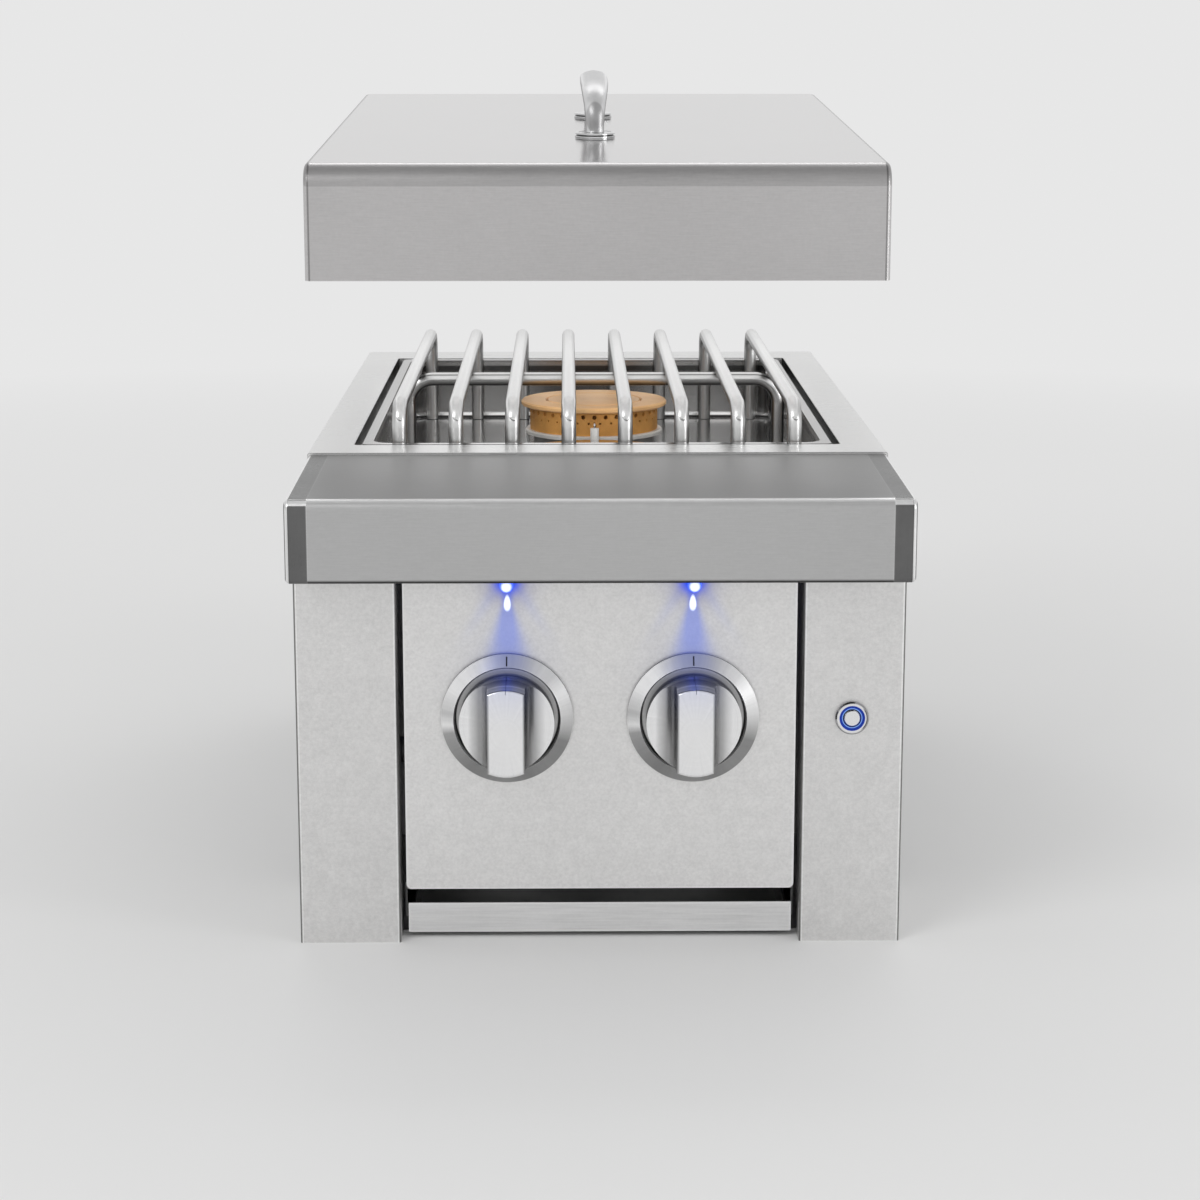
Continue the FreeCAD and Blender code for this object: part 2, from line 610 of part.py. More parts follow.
def ledge_cover():
    """Folded ledge: lap under the frame, sloping top, front face and a flange below."""
    top_front = "(deck_height - frame_sheet - ledge_fall)"
    flange_back = f"({FRONT} + ledge_return)"
    body = new_body("ledge_cover")
    drawn = sketch_on(body, "ledge_section", "side", "-width / 2 + cap_width")
    outline(drawn, [
        (LAP_BACK, UNDER_FRAME),
        (FRAME_FRONT, UNDER_FRAME),
        (FRONT, top_front),
        (FRONT, "ledge_bottom"),
        (flange_back, "ledge_bottom"),
        (flange_back, "ledge_bottom + sheet"),
        (f"{FRONT} + sheet", "ledge_bottom + sheet"),
        (f"{FRONT} + sheet", f"{top_front} - sheet"),
        (FRAME_FRONT, f"{UNDER_FRAME} - sheet"),
        (LAP_BACK, f"{UNDER_FRAME} - sheet"),
    ])
    last = pad(body, drawn, "width - 2 * cap_width")
    last = softened(body, last, "ledge_round", edges_at(last, y=FRONT, z=top_front))
    inner = edges_at(last, y=f"{FRONT} + sheet", z=f"{top_front} - sheet")
    last = softened(body, last, "ledge_round - sheet", inner)
    last = softened(body, last, "ledge_under_round", edges_at(last, y=FRONT, z="ledge_bottom"))
    inner = edges_at(last, y=f"{FRONT} + sheet", z="ledge_bottom + sheet")
    softened(body, last, "ledge_under_round - sheet", inner)
    holes = [
        rod(f"ledge_light_hole_{number}", "z",
            (f"{side} * led_spacing / 2", f"{FRONT} + led_inset", "ledge_bottom - sheet"),
            "sheet * 4", "led_radius + joint_gap")
        for number, side in enumerate((-1, 1))
    ]
    keep(cut("nose_cover", body, *holes))


def ledge_end_caps():
    """Cast cap at each end of the ledge, hollow towards the ledge."""
    top_front = "(deck_height - frame_sheet - ledge_fall)"
    for hand, side in (("left", -1), ("right", 1)):
        inner = "(width / 2 - cap_width)"
        body = new_body(f"cap_{hand}_block")
        start = "width / 2 - cap_width" if side > 0 else "-width / 2"
        drawn = sketch_on(body, f"cap_{hand}_section", "side", start)
        outline(drawn, [
            (FRONT, "ledge_bottom"),
            (FRAME_FRONT, "ledge_bottom"),
            (FRAME_FRONT, UNDER_FRAME),
            (FRONT, top_front),
        ])
        last = pad(body, drawn, "cap_width")
        last = softened(body, last, "ledge_round", edges_at(last, y=FRONT, z=top_front))
        last = softened(body, last, "cap_round", edges_at(last, y=FRONT, z="ledge_bottom"))
        rim = edges_at(last, x=f"{side} * width / 2")
        softened(body, last, "cap_round", rim)
        hollow = block(
            f"cap_{hand}_hollow",
            mirrored_span(side, f"{inner} - cap_wall", "width / 2 - cap_wall"),
            (f"{FRONT} + cap_wall", f"{FRAME_FRONT} - cap_wall"),
            ("ledge_bottom + cap_wall", f"{top_front} - cap_wall"),
        )
        keep(cut(f"nose_end_cap_{hand}", body, hollow))


def columns():
    """Front columns: a face, a deep outer side and a short inner flange."""
    for hand, side in (("left", -1), ("right", 1)):
        body = new_body("pillar_left" if side < 0 else "column_right")
        drawn = sketch_on(body, f"column_{hand}_section", "level")
        inner, outer = COLUMN_X, "(width / 2)"
        corners = [
            (inner, f"{COLUMN_FACE} + column_return"),
            (inner, COLUMN_FACE),
            (outer, COLUMN_FACE),
            (outer, FRAME_FRONT),
            (f"{outer} - sheet", FRAME_FRONT),
            (f"{outer} - sheet", f"{COLUMN_FACE} + sheet"),
            (f"{inner} + sheet", f"{COLUMN_FACE} + sheet"),
            (f"{inner} + sheet", f"{COLUMN_FACE} + column_return"),
        ]
        outline(drawn, [(f"{side} * ({x})", y) for x, y in corners])
        last = pad(body, drawn, "ledge_bottom")
        for edge in (inner, outer):
            last = softened(body, last, "column_round", edges_at(last, x=f"{side} * {edge}", y=COLUMN_FACE))
        if side < 0:
            keep(body)
    hole = rod("column_hole", "y", (BUTTON_X, f"{COLUMN_FACE} - sheet", "knob_height"),
               "sheet * 3", "button_barrel + stem_play")
    keep(cut("pillar_right", body, hole))


def control_panel():
    """Control panel: a shallow tray of sheet with two stem holes."""
    half = f"({COLUMN_X} - panel_gap)"
    x = (f"-{half}", half)
    y = (PANEL_FACE, f"{PANEL_FACE} + panel_return")
    solid = block("panel_block", x, y, ("panel_bottom", "ledge_bottom"))
    lower = [n for a in x for n in edges_at(solid, x=a, z="panel_bottom")]
    solid = rounded("panel_rounded", solid, "panel_corner", lower)
    hollow = block(
        "panel_hollow",
        (f"-{half} + sheet", f"{half} - sheet"),
        (f"{PANEL_FACE} + sheet", f"{PANEL_FACE} + panel_return * 2"),
        ("panel_bottom + sheet", "ledge_bottom - sheet"),
    )
    holes = [
        rod(f"panel_hole_{number}", "y",
            (f"{side} * knob_spacing / 2", f"{PANEL_FACE} - sheet", "knob_height"),
            "sheet * 4", "stem_hole_radius")
        for number, side in enumerate((-1, 1))
    ]
    keep(cut("control_panel", solid, hollow, *holes))


def fire_box():
    """Box below the deck: two sides, rear wall with vents, floor and heat shield."""
    flange = "(width / 2 - sheet)"
    for hand, side in (("left", -1), ("right", 1)):
        body = new_body(f"box_{hand}_sheet")
        drawn = sketch_on(body, f"box_{hand}_section", "level")
        corners = [
            (WALL_X, WALL_FRONT),
            (flange, WALL_FRONT),
            (flange, f"{WALL_FRONT} + sheet"),
            (f"{WALL_X} + sheet", f"{WALL_FRONT} + sheet"),
            (f"{WALL_X} + sheet", REAR),
            (WALL_X, REAR),
        ]
        outline(drawn, [(f"{side} * ({x})", y) for x, y in corners])
        pad(body, drawn, UNDER_FRAME)
        under_ledge = "(deck_height - frame_sheet - ledge_fall - sheet)"
        notch = block(
            f"box_{hand}_notch",
            mirrored_span(side, f"{WALL_X} - sheet", "width / 2"),
            (f"{WALL_FRONT} - sheet", f"{LAP_BACK} + joint_gap"),
            (f"{under_ledge}", "deck_height"),
        )
        upper = block(
            f"box_{hand}_upper",
            mirrored_span(side, f"{WALL_X} + sheet", "width / 2"),
            (f"{WALL_FRONT} - sheet", f"{WALL_FRONT} + sheet * 2"),
            ("ledge_bottom", "deck_height"),
        )
        across = mirrored_span(side, f"{WALL_X} - sheet", f"{WALL_X} + sheet * 2")[0]
        holes = [
            rod(f"box_{hand}_hole_{along + 1}_{up + 1}", "x",
                (across, f"burner_y + {along} * fixing_spacing / 2",
                 f"fixing_height + {up} * fixing_rise / 2"),
                "sheet * 3", "fixing_hole_radius")
            for along, up in ((-1, -1), (-1, 1), (1, -1), (1, 1))
        ]
        keep(cut(f"box_side_{hand}", body, notch, upper, *holes))
    wall_x = (f"-{WALL_X}", WALL_X)
    rear = block("rear_sheet", wall_x, (f"{REAR} - sheet", REAR), ("sheet", UNDER_FRAME))
    vents = [
        block(f"vent_{side}_{row}", mirrored_span(side, "vent_pitch", "vent_pitch + vent_width"),
              (f"{REAR} - sheet * 2", f"{REAR} + sheet"),
              (f"vent_bottom + {row} * vent_pitch", f"vent_bottom + {row} * vent_pitch + vent_height"))
        for side in (-1, 1) for row in range(5)
    ]
    inlet = rod("rear_inlet_hole", "y", (f"-{SUPPLY_X}", f"{REAR} - sheet * 2", MANIFOLD_Z),
                "sheet * 4", "inlet_radius + stem_play")
    keep(cut("box_rear", rear, inlet, *vents))
    screws = [
        rod(f"rear_screw_{side + 1}_{row}", "y",
            (f"{side} * ({WALL_X} - vent_pitch)", REAR,
             f"vent_pitch + {row} * ({UNDER_FRAME} - 2 * vent_pitch) / 2"),
            "screw_head_height", "screw_head_radius")
        for side in (-1, 1) for row in range(3)
    ]
    keep(group("rear_screws", screws))
    keep(block("box_floor", wall_x, (f"{COLUMN_FACE} + column_return + joint_gap", REAR), ("0", "sheet")))
    shield = block("shield_sheet", wall_x, (SHIELD, f"{SHIELD} + sheet"), ("shield_bottom", UNDER_FRAME))
    passes = [
        rod(f"shield_hole_{number}", "y", (x, f"{SHIELD} - sheet", z), "sheet * 4", radius)
        for number, (x, z, radius) in enumerate([
            ("-knob_spacing / 2", "knob_height", "tube_radius + joint_gap"),
            ("knob_spacing / 2", "knob_height", "tube_radius + joint_gap"),
            (f"-{SUPPLY_X}", MANIFOLD_Z, "supply_radius + joint_gap"),
        ])
    ]
    keep(cut("heat_shield", shield, *passes))


def tray_runners():
    """A C-shaped runner at each side guides the tray's flange."""
    inner = f"({TRAY_HALF} + tray_flange / 3)"
    outer = f"({TRAY_HALF} + tray_flange + joint_gap + sheet)"
    for hand, side in (("left", -1), ("right", 1)):
        y = (f"{WALL_FRONT} + runner_setback", f"{WALL_FRONT} + tray_length")
        whole = block(f"runner_{hand}_block", mirrored_span(side, inner, outer), y,
                      ("sheet", "tray_top + 2 * sheet + 2 * joint_gap"))
        below = block(f"runner_{hand}_below", mirrored_span(side, f"{inner} - sheet", f"{outer} - sheet"),
                      (f"{WALL_FRONT}", f"{WALL_FRONT} + tray_length + sheet"),
                      ("sheet * 2", "tray_top - sheet - joint_gap"))
        slot = block(f"runner_{hand}_slot", mirrored_span(side, f"{inner} - sheet", f"{outer} - sheet"),
                     (f"{WALL_FRONT}", f"{WALL_FRONT} + tray_length + sheet"),
                     ("tray_top - joint_gap", "tray_top + sheet + joint_gap"))
        keep(cut(f"tray_runner_{hand}", whole, below, slot))


def drip_tray():
    """Sliding tray: shallow basin with side flanges and a front strip."""
    front = f"({PANEL_FACE} + tray_setback + sheet)"
    back = f"({front} + tray_length)"
    basin_x = (f"-{TRAY_HALF}", TRAY_HALF)
    basin = block("tray_basin", basin_x, (front, back), ("tray_floor", "tray_top + sheet"))
    flanges = block("tray_flanges", (f"-{TRAY_HALF} - tray_flange", f"{TRAY_HALF} + tray_flange"),
                    (f"{WALL_FRONT} + runner_setback + joint_gap", back), ("tray_top", "tray_top + sheet"))
    hollow = block("tray_hollow", (f"-{TRAY_HALF} + sheet", f"{TRAY_HALF} - sheet"),
                   (f"{front} + sheet", f"{back} - sheet"), ("tray_floor + sheet", "tray_top + sheet * 2"))
    keep(cut("drip_tray", fuse("tray_solid", basin, flanges), hollow))
    strip_x = (f"-({COLUMN_X} - tray_front_gap)", f"({COLUMN_X} - tray_front_gap)")
    strip = block("strip_block", strip_x, (f"{front} - sheet", front), ("tray_floor", "tray_front_top"))
    lower = [n for a in strip_x for n in edges_at(strip, x=a, z="tray_floor")]
    keep(rounded("tray_front", strip, "strip_corner", lower))


def bar_grate():
    """Eight bent bars welded across one bent cross rod, all standing on the pan floor."""
    foot = f"({PAN_FLOOR} + joint_gap)"
    bars = []
    for number in range(int(amount_of("bar_count"))):
        x = f"({number} - (bar_count - 1) / 2) * bar_pitch"
        route = [(x, BAR_FRONT, foot), (x, BAR_FRONT, BAR_Z), (x, BAR_BACK, BAR_Z), (x, BAR_BACK, foot)]
        bars.append(bent_rod(f"bar_{number}", route, "bar_bend", "bar_radius"))
    keep(group("grate_bars", bars))
    route = [("-cross_half", "burner_y", foot), ("-cross_half", "burner_y", CROSS_Z),
             ("cross_half", "burner_y", CROSS_Z), ("cross_half", "burner_y", foot)]
    keep(bent_rod("grate_cross_rod", route, "cross_bend", "bar_radius"))


def burner():
    """Dual-ring burner: cast base, pale ring, brass head with ports, two loose caps."""
    floor = "base_wall"
    core = "core_radius"
    base = turned_piece("base_casting", "upright", [
        ("0", "0"), ("base_radius", "0"), ("base_radius", "base_height"),
        ("base_radius - base_wall", "base_height"), ("base_radius - base_wall", floor),
        (f"{core} + base_wall / 2", floor), (f"{core} + base_wall / 2", "base_height"),
        (core, "base_height"), (core, floor), ("0", floor),
    ])
    place(base, "0", "burner_y", PAN_FLOOR)
    feeds = [
        rod(f"base_feed_{number}", "z", (x, "burner_y", f"{PAN_FLOOR} - base_wall"), "base_wall * 2.5",
            "tube_radius - tube_wall")
        for number, x in enumerate(("0", "-outer_feed"))
    ]
    keep(cut("burner_base", base, *feeds))
    ring = turned_piece("burner_seat_ring", "upright", [
        ("base_radius - base_wall", "0"), ("ring_radius", "0"), ("ring_radius", "ring_height - ring_bevel"),
        ("ring_radius - ring_bevel", "ring_height"), ("base_radius - base_wall", "ring_height"),
    ])
    keep(place(ring, "0", "burner_y", BASE_TOP))
    head = turned_piece("head_casting", "upright", [
        ("core_radius", "0"), ("head_radius", "0"), ("head_radius", "head_height"),
        ("head_radius - head_wall", "head_height"), ("head_radius - head_wall", "head_floor"),
        ("head_core + head_wall / 2", "head_floor"), ("head_core + head_wall / 2", "head_height"),
        ("head_core - head_wall / 2", "head_height"), ("head_core - head_wall / 2", "head_floor"),
        ("core_radius", "head_floor"),
    ])
    place(head, "0", "burner_y", HEAD_FOOT)
    head.recompute()
    middle = FreeCAD.Vector(0, amount_of("burner_y"), 0)
    count = int(amount_of("port_count"))
    rows = (("port_drop", "port_radius", 0), ("port_drop + port_row", "port_small", 0.5))
    ports = []
    for turn in range(count):
        for row, radius, shift in rows:
            angle = 360 * (turn + shift) / count
            level = amount_of(f"{HEAD_TOP} - ({row})")
            port = Part.makeCylinder(amount_of(radius), amount_of("head_wall * 2"),
                                     FreeCAD.Vector(amount_of("head_radius - head_wall * 1.5"), 0, level),
                                     FreeCAD.Vector(1, 0, 0))
            port.rotate(FreeCAD.Vector(), FreeCAD.Vector(0, 0, 1), angle)
            port.translate(middle)
            ports.append(port)
    drills = doc.addObject("Part::Feature", "head_ports")
    drills.Shape = Part.makeCompound(ports)
    reach = "(base_radius + core_radius) / 2"
    passages = [
        rod(f"head_passage_{number}", "z",
            (f"{reach} * cos({number * 60} deg)", f"burner_y + {reach} * sin({number * 60} deg)",
             f"{HEAD_FOOT} - head_floor"),
            "head_floor * 3", "base_wall")
        for number in range(6)
    ]
    keep(cut("burner_head", cut("head_drilled", head, drills), *passages))
    outer = turned_piece("burner_cap_outer", "upright", [
        ("cap_split + cap_groove / 2", "0"), ("cap_radius - cap_bevel", "0"), ("cap_radius", "cap_bevel"),
        ("cap_radius", "cap_plate - cap_bevel"), ("cap_radius - cap_bevel", "cap_plate"),
        ("cap_split + cap_groove / 2 + groove_bevel", "cap_plate"),
        ("cap_split + cap_groove / 2", "cap_plate - groove_bevel"),
    ])
    keep(place(outer, "0", "burner_y", f"{HEAD_TOP}"))
    lip = "(head_core - head_wall / 2 - joint_gap)"
    inner = turned_piece("burner_cap_inner", "upright", [
        ("0", "0"), (f"{lip} - cap_lip", "0"), (f"{lip} - cap_lip", "-cap_lip_drop"),
        (lip, "-cap_lip_drop"), (lip, "0"),
        ("cap_split - cap_groove / 2", "0"), ("cap_split - cap_groove / 2", "cap_plate - groove_bevel"),
        ("cap_split - cap_groove / 2 - groove_bevel", "cap_plate"), ("0", "cap_plate"),
    ])
    keep(place(inner, "0", "burner_y", f"{HEAD_TOP}"))


def igniter():
    """Ceramic igniter in front of the burner, its wire and its lead to the spark box."""
    top = "(deck_height - igniter_top)"
    foot = f"({top} - igniter_length)"
    stick = rod("igniter_stick", "z", ("0", IGNITER_Y, foot), "igniter_length", "igniter_radius")
    collar = rod("igniter_collar", "z", ("0", IGNITER_Y, PAN_FLOOR), "base_wall / 2", "collar_radius")
    bore_foot = f"({top} - igniter_length / 4)"
    bore = rod("igniter_bore", "z", ("0", IGNITER_Y, bore_foot), "igniter_length", "electrode_radius")
    keep(cut("igniter_insulator", fuse("igniter_ceramic", stick, collar), bore))
    tip_z = f"({top} + igniter_radius)"
    tip_y = f"{IGNITER_Y} + igniter_gap + igniter_radius"
    route = [("0", IGNITER_Y, bore_foot), ("0", IGNITER_Y, tip_z), ("0", tip_y, tip_z)]
    keep(bent_rod("igniter_electrode", route, "electrode_radius * 2", "electrode_radius"))
    box_x = (f"{WALL_X} - spark_width", WALL_X)
    box_y = (f"{SHIELD} + sheet", f"{SHIELD} + sheet + spark_depth")
    spark = block("spark_block", box_x, box_y, ("spark_bottom", "spark_bottom + spark_height"))
    keep(rounded("power_module", spark, "cap_round", edges_at(spark, x=box_x[0])))
    spark_top = "(spark_bottom + spark_height)"
    module_x = f"({WALL_X} - spark_width / 2)"
    module_y = f"({SHIELD} + sheet + spark_depth / 2)"
    route = [
        ("0", IGNITER_Y, foot), ("0", IGNITER_Y, f"{foot} - lead_drop"),
        (f"{module_x} / 2", f"({module_y} + {IGNITER_Y}) / 2", f"{foot} - lead_drop * 1.6"),
        (module_x, module_y, f"{foot} - lead_drop * 1.3"), (module_x, module_y, spark_top),
    ]
    keep(bent_rod("igniter_lead", route, "lead_bend", "lead_radius"))


def tube_cover():
    """Arched cover on the pan floor, from the grate's front legs back to the igniter."""
    y = (f"{BAR_FRONT} + bar_radius + cover_gap", f"{IGNITER_Y} - collar_radius - cover_gap")
    crown = "(deck_height - cover_top)"
    arches = []
    for name, less in (("outer", "0"), ("inner", "sheet")):
        span = (f"-cover_half + {less}", f"cover_half - {less}")
        slab = block(f"cover_{name}_slab", span, y, (f"{PAN_FLOOR} - {less}", crown))
        round_bar = rod(f"cover_{name}_arch", "y", ("0", y[0], f"{crown} - {less} - (cover_arch - {less})"),
                        f"({y[1]}) - ({y[0]})", f"cover_arch - {less}")
        arch = shared(f"cover_{name}_blunt", slab, round_bar)
        shoulders = [
            number for number, edge in enumerate(arch.Shape.Edges, start=1)
            if edge.BoundBox.YLength > NEAR and edge.BoundBox.ZMin > amount_of(f"{PAN_FLOOR} + cover_round")
            and edge.BoundBox.XLength < NEAR
        ]
        arches.append(rounded(f"cover_{name}", arch, f"cover_round - {less}", shoulders))
    keep(cut("tube_cover", *arches))


def gas_train():
    """Manifold on two brackets, valves, orifices, mixing tubes, supply pipe and inlet."""
    end = ("-manifold_reach", MANIFOLD_Y, MANIFOLD_Z)
    pipe = rod("manifold_pipe", "x", end, "manifold_reach * 2", "manifold_radius")
    bosses = [
        rod(f"manifold_boss_{number}", "z", (f"{side} * knob_spacing / 2", MANIFOLD_Y, MANIFOLD_Z),
            f"{VALVE_FOOT} - {MANIFOLD_Z}", "boss_radius")
        for number, side in enumerate((-1, 1))
    ]
    keep(fuse("manifold", pipe, *bosses))
    arms = []
    for number, side in enumerate((-1, 1)):
        outer = "(manifold_reach - bracket_inset)"
        x = mirrored_span(side, f"{outer} - bracket_width", outer)
        under = f"({MANIFOLD_Z} - manifold_radius - bracket_sheet)"
        arm = block(f"bracket_arm_{number}", x, (f"{MANIFOLD_Y} - manifold_radius", SHIELD),
                    (under, f"{under} + bracket_sheet"))
        foot = block(f"bracket_foot_{number}", x, (f"{SHIELD} - bracket_sheet", SHIELD),
                     (f"{under} - bracket_drop", f"{under} + bracket_sheet"))
        arms.append(fuse(f"bracket_{number}", arm, foot))
    keep(group("manifold_brackets", arms))
    route = [("-manifold_reach", MANIFOLD_Y, MANIFOLD_Z), (f"-{SUPPLY_X}", MANIFOLD_Y, MANIFOLD_Z),
             (f"-{SUPPLY_X}", f"{REAR} - sheet - fitting_nut", MANIFOLD_Z)]
    keep(bent_rod("supply_pipe", route, "supply_bend", "supply_radius"))
    gas_inlet()
    orifices = []
    for hand, side in (("left", -1), ("right", 1)):
        x = f"({side} * knob_spacing / 2)"
        valve(hand, x)
        jet = rod(f"orifice_{hand}", "y", (x, VALVE_BACK, "knob_height"), "orifice_length", "orifice_radius")
        jet_bore = rod(f"orifice_bore_{hand}", "y", (x, f"{VALVE_BACK} - sheet", "knob_height"),
                       "orifice_length + sheet * 2", "electrode_radius")
        orifices.append(cut(f"orifice_drilled_{hand}", jet, jet_bore))
    keep(group("orifices", orifices))
    mixing_tubes()


def gas_inlet():
    """Threaded inlet through the rear wall with a hexagon inside the box."""
    hexagon = doc.addObject("Part::Prism", "inlet_hexagon")
    hexagon.Polygon = 6
    hexagon.setExpression("Circumradius", linked("inlet_hex"))
    hexagon.setExpression("Height", linked("fitting_nut"))
    hexagon.Placement = FreeCAD.Placement(FreeCAD.Vector(), AXIS_TURNS["y"])
    place(hexagon, f"-{SUPPLY_X}", f"{REAR} - sheet - fitting_nut", MANIFOLD_Z)
    hexagon.recompute()
    neck = rod("inlet_collar", "y", (f"-{SUPPLY_X}", f"{REAR} - sheet - fitting_nut", MANIFOLD_Z),
               "fitting_nut + sheet * 2", "inlet_neck")
    thread = rod("inlet_thread", "y", (f"-{SUPPLY_X}", REAR, MANIFOLD_Z), "inlet_length", "inlet_radius")
    bore = rod("inlet_passage", "y", (f"-{SUPPLY_X}", f"{REAR} - sheet", MANIFOLD_Z),
               "inlet_length * 2", "inlet_bore")
    keep(cut("gas_inlet_fitting", fuse("inlet_solid", hexagon, neck, thread), bore))


def valve(hand, x):
    """Gas valve: body on the manifold, turning plug inside and the stem that turns it."""
    half = "valve_width / 2"
    flanks = (f"{x} - {half}", f"{x} + {half}")
    solid = block(f"valve_{hand}_block", flanks, (VALVE_FRONT, VALVE_BACK),
                  (VALVE_FOOT, f"{VALVE_FOOT} + valve_height"))
    upper = [n for a in flanks for n in edges_at(solid, x=a, z=f"{VALVE_FOOT} + valve_height")]
    solid = rounded(f"valve_{hand}_soft", solid, "column_round", upper)
    bore = rod(f"valve_{hand}_bore", "y", (x, f"{PLUG_FRONT} - joint_gap", "knob_height"),
               "plug_length + 2 * joint_gap", "plug_radius + plug_play")
    front = rod(f"valve_{hand}_front", "y", (x, f"{VALVE_FRONT} - sheet", "knob_height"),
                "valve_face + 2 * sheet", "stem_radius + joint_gap")
    outlet = rod(f"valve_{hand}_outlet", "y", (x, f"{PLUG_FRONT} + plug_length", "knob_height"),
                 "valve_length", "stem_radius / 2")
    keep(cut(f"valve_body_{hand}", solid, bore, front, outlet))
    flat_play = f"({x} + stem_flat + stem_play)"
    stem_length = "(stem_seat + knob_gap + valve_gap + valve_face + joint_gap + stem_engage)"
    stem_start = f"({KNOB_BACK} - stem_seat)"
    socket = rod(f"plug_{hand}_socket", "y", (x, f"{PLUG_FRONT} - sheet", "knob_height"),
                 "sheet + stem_engage * 2", "stem_radius + stem_play")
    half_space = block(f"plug_{hand}_flat", (f"{x} - plug_radius", flat_play),
                       (f"{PLUG_FRONT} - sheet * 2", f"{PLUG_FRONT} + plug_length"),
                       ("knob_height - plug_radius", "knob_height + plug_radius"))
    plug = rod(f"plug_{hand}_blank", "y", (x, PLUG_FRONT, "knob_height"), "plug_length", "plug_radius")
    keep(cut(f"valve_plug_{hand}", plug, shared(f"plug_{hand}_key", socket, half_space)))
    round_stem = rod(f"stem_{hand}_round", "y", (x, stem_start, "knob_height"), stem_length, "stem_radius")
    flat = block(f"stem_{hand}_flat", (f"{x} - stem_radius", f"{x} + stem_flat"),
                 (f"{stem_start} - sheet", f"{stem_start} + {stem_length} + sheet"),
                 ("knob_height - stem_radius", "knob_height + stem_radius"))
    keep(shared(f"valve_stem_{hand}", round_stem, flat))


def mixing_tubes():
    """A mixing tube with its air shutter from each valve to its chamber of the burner."""
    start = f"({VALVE_BACK} + tube_start)"
    shutters = []
    for hand, side, end in (("left", -1, "-outer_feed"), ("right", 1, "0")):
        x = f"({side} * knob_spacing / 2)"
        route = [
            (x, start, "knob_height"), (x, f"{SHIELD} + tube_turn", "knob_height"),
            (end, "burner_y - tube_elbow * 2.5", "knob_height"), (end, "burner_y", "knob_height"),
            (end, "burner_y", PAN_FLOOR),
        ]
        outer = bent_rod(f"tube_{hand}_outer", route, "tube_elbow", "tube_radius")
        inner = bent_rod(f"tube_{hand}_inner", route, "tube_elbow", "tube_radius - tube_wall")
        keep(cut(f"mixing_tube_{hand}", outer, inner))
        sleeve = rod(f"shutter_{hand}_blank", "y", (x, start, "knob_height"),
                     "shutter_length", "shutter_radius")
        sleeve_bore = rod(f"shutter_{hand}_bore", "y", (x, f"{start} - sheet", "knob_height"),
                          "shutter_length + 2 * sheet", "tube_radius + stem_play")
        shutters.append(cut(f"shutter_{hand}", sleeve, sleeve_bore))
    keep(group("air_shutters", shutters))


def knobs():
    """Round knob with a scooped grip bar, in a conical bezel on the panel."""
    for hand, side in (("left", -1), ("right", 1)):
        x = f"({side} * knob_spacing / 2)"
        bezel = turned_piece(f"knob_bezel_{hand}", "level", [
            ("bezel_bore", "0"), ("bezel_radius", "0"), ("bezel_radius", "-bezel_edge"),
            ("bezel_bore + bezel_bevel", "-bezel_height"), ("bezel_bore", "-bezel_height + bezel_bevel"),
        ])
        keep(place(bezel, x, PANEL_FACE, "knob_height"))
        blank = turned_piece(f"knob_{hand}_blank", "level", [
            ("0", "0"), ("knob_radius", "0"), ("knob_radius", "-skirt_length"),
            ("knob_front_radius", "-knob_length"), ("0", "-knob_length"),
        ])
        place(blank, x, KNOB_BACK, "knob_height")
        blank.recompute()
        front = f"({KNOB_BACK} - knob_length)"
        scoops = []
        for flank in (-1, 1):
            span = ((f"{x} + grip_width / 2", f"{x} + knob_radius * 2") if flank > 0
                    else (f"{x} - knob_radius * 2", f"{x} - grip_width / 2"))
            scoop = block(f"knob_{hand}_scoop_{flank + 1}", span,
                          (f"{front} - knob_gap", f"{KNOB_BACK} - skirt_length"),
                          ("knob_height - knob_radius * 2", "knob_height + knob_radius * 2"))
            root = edges_at(scoop, x=f"{x} + {flank} * grip_width / 2", y=f"{KNOB_BACK} - skirt_length")
            scoops.append(rounded(f"knob_{hand}_scooped_{flank + 1}", scoop, "grip_scoop", root))
        shaped = cut(f"knob_{hand}_shaped", blank, *scoops)
        shaped = rounded(f"knob_{hand}_soft", shaped, "grip_round", edges_at(shaped, y=front))
        socket = rod(f"knob_{hand}_socket", "y", (x, f"{KNOB_BACK} - stem_seat", "knob_height"),
                     "stem_seat * 2", "stem_radius")
        flat = block(f"knob_{hand}_flat", (f"{x} - knob_radius", f"{x} + stem_flat"),
                     (f"{KNOB_BACK} - stem_seat", f"{KNOB_BACK} + stem_seat"),
                     ("knob_height - knob_radius", "knob_height + knob_radius"))
        keep(cut(f"knob_{hand}", shaped, shared(f"knob_{hand}_key", socket, flat)))


def lights():
    """Domed lenses under the ledge with their housings inside it."""
    lenses = []
    housings = []
    for number, side in enumerate((-1, 1)):
        centre = (f"{side} * led_spacing / 2", f"{FRONT} + led_inset")
        top = "(ledge_bottom + sheet)"
        tip = "(ledge_bottom - led_dome + led_radius)"
        stick = rod(f"lens_stick_{number}", "z", (*centre, tip), f"{top} - {tip}", "led_radius")
        dome = ball(f"lens_dome_{number}", (*centre, tip), "led_radius")
        flange = rod(f"lens_flange_{number}", "z", (*centre, "ledge_bottom - led_flange_height"),
                     "led_flange_height", "led_flange")
        lenses.append(fuse(f"lens_{number}", stick, dome, flange))
        housings.append(rod(f"housing_{number}", "z", (*centre, top), "housing_height", "housing_radius"))
    keep(group("led_lenses", lenses))
    keep(group("led_housings", housings))


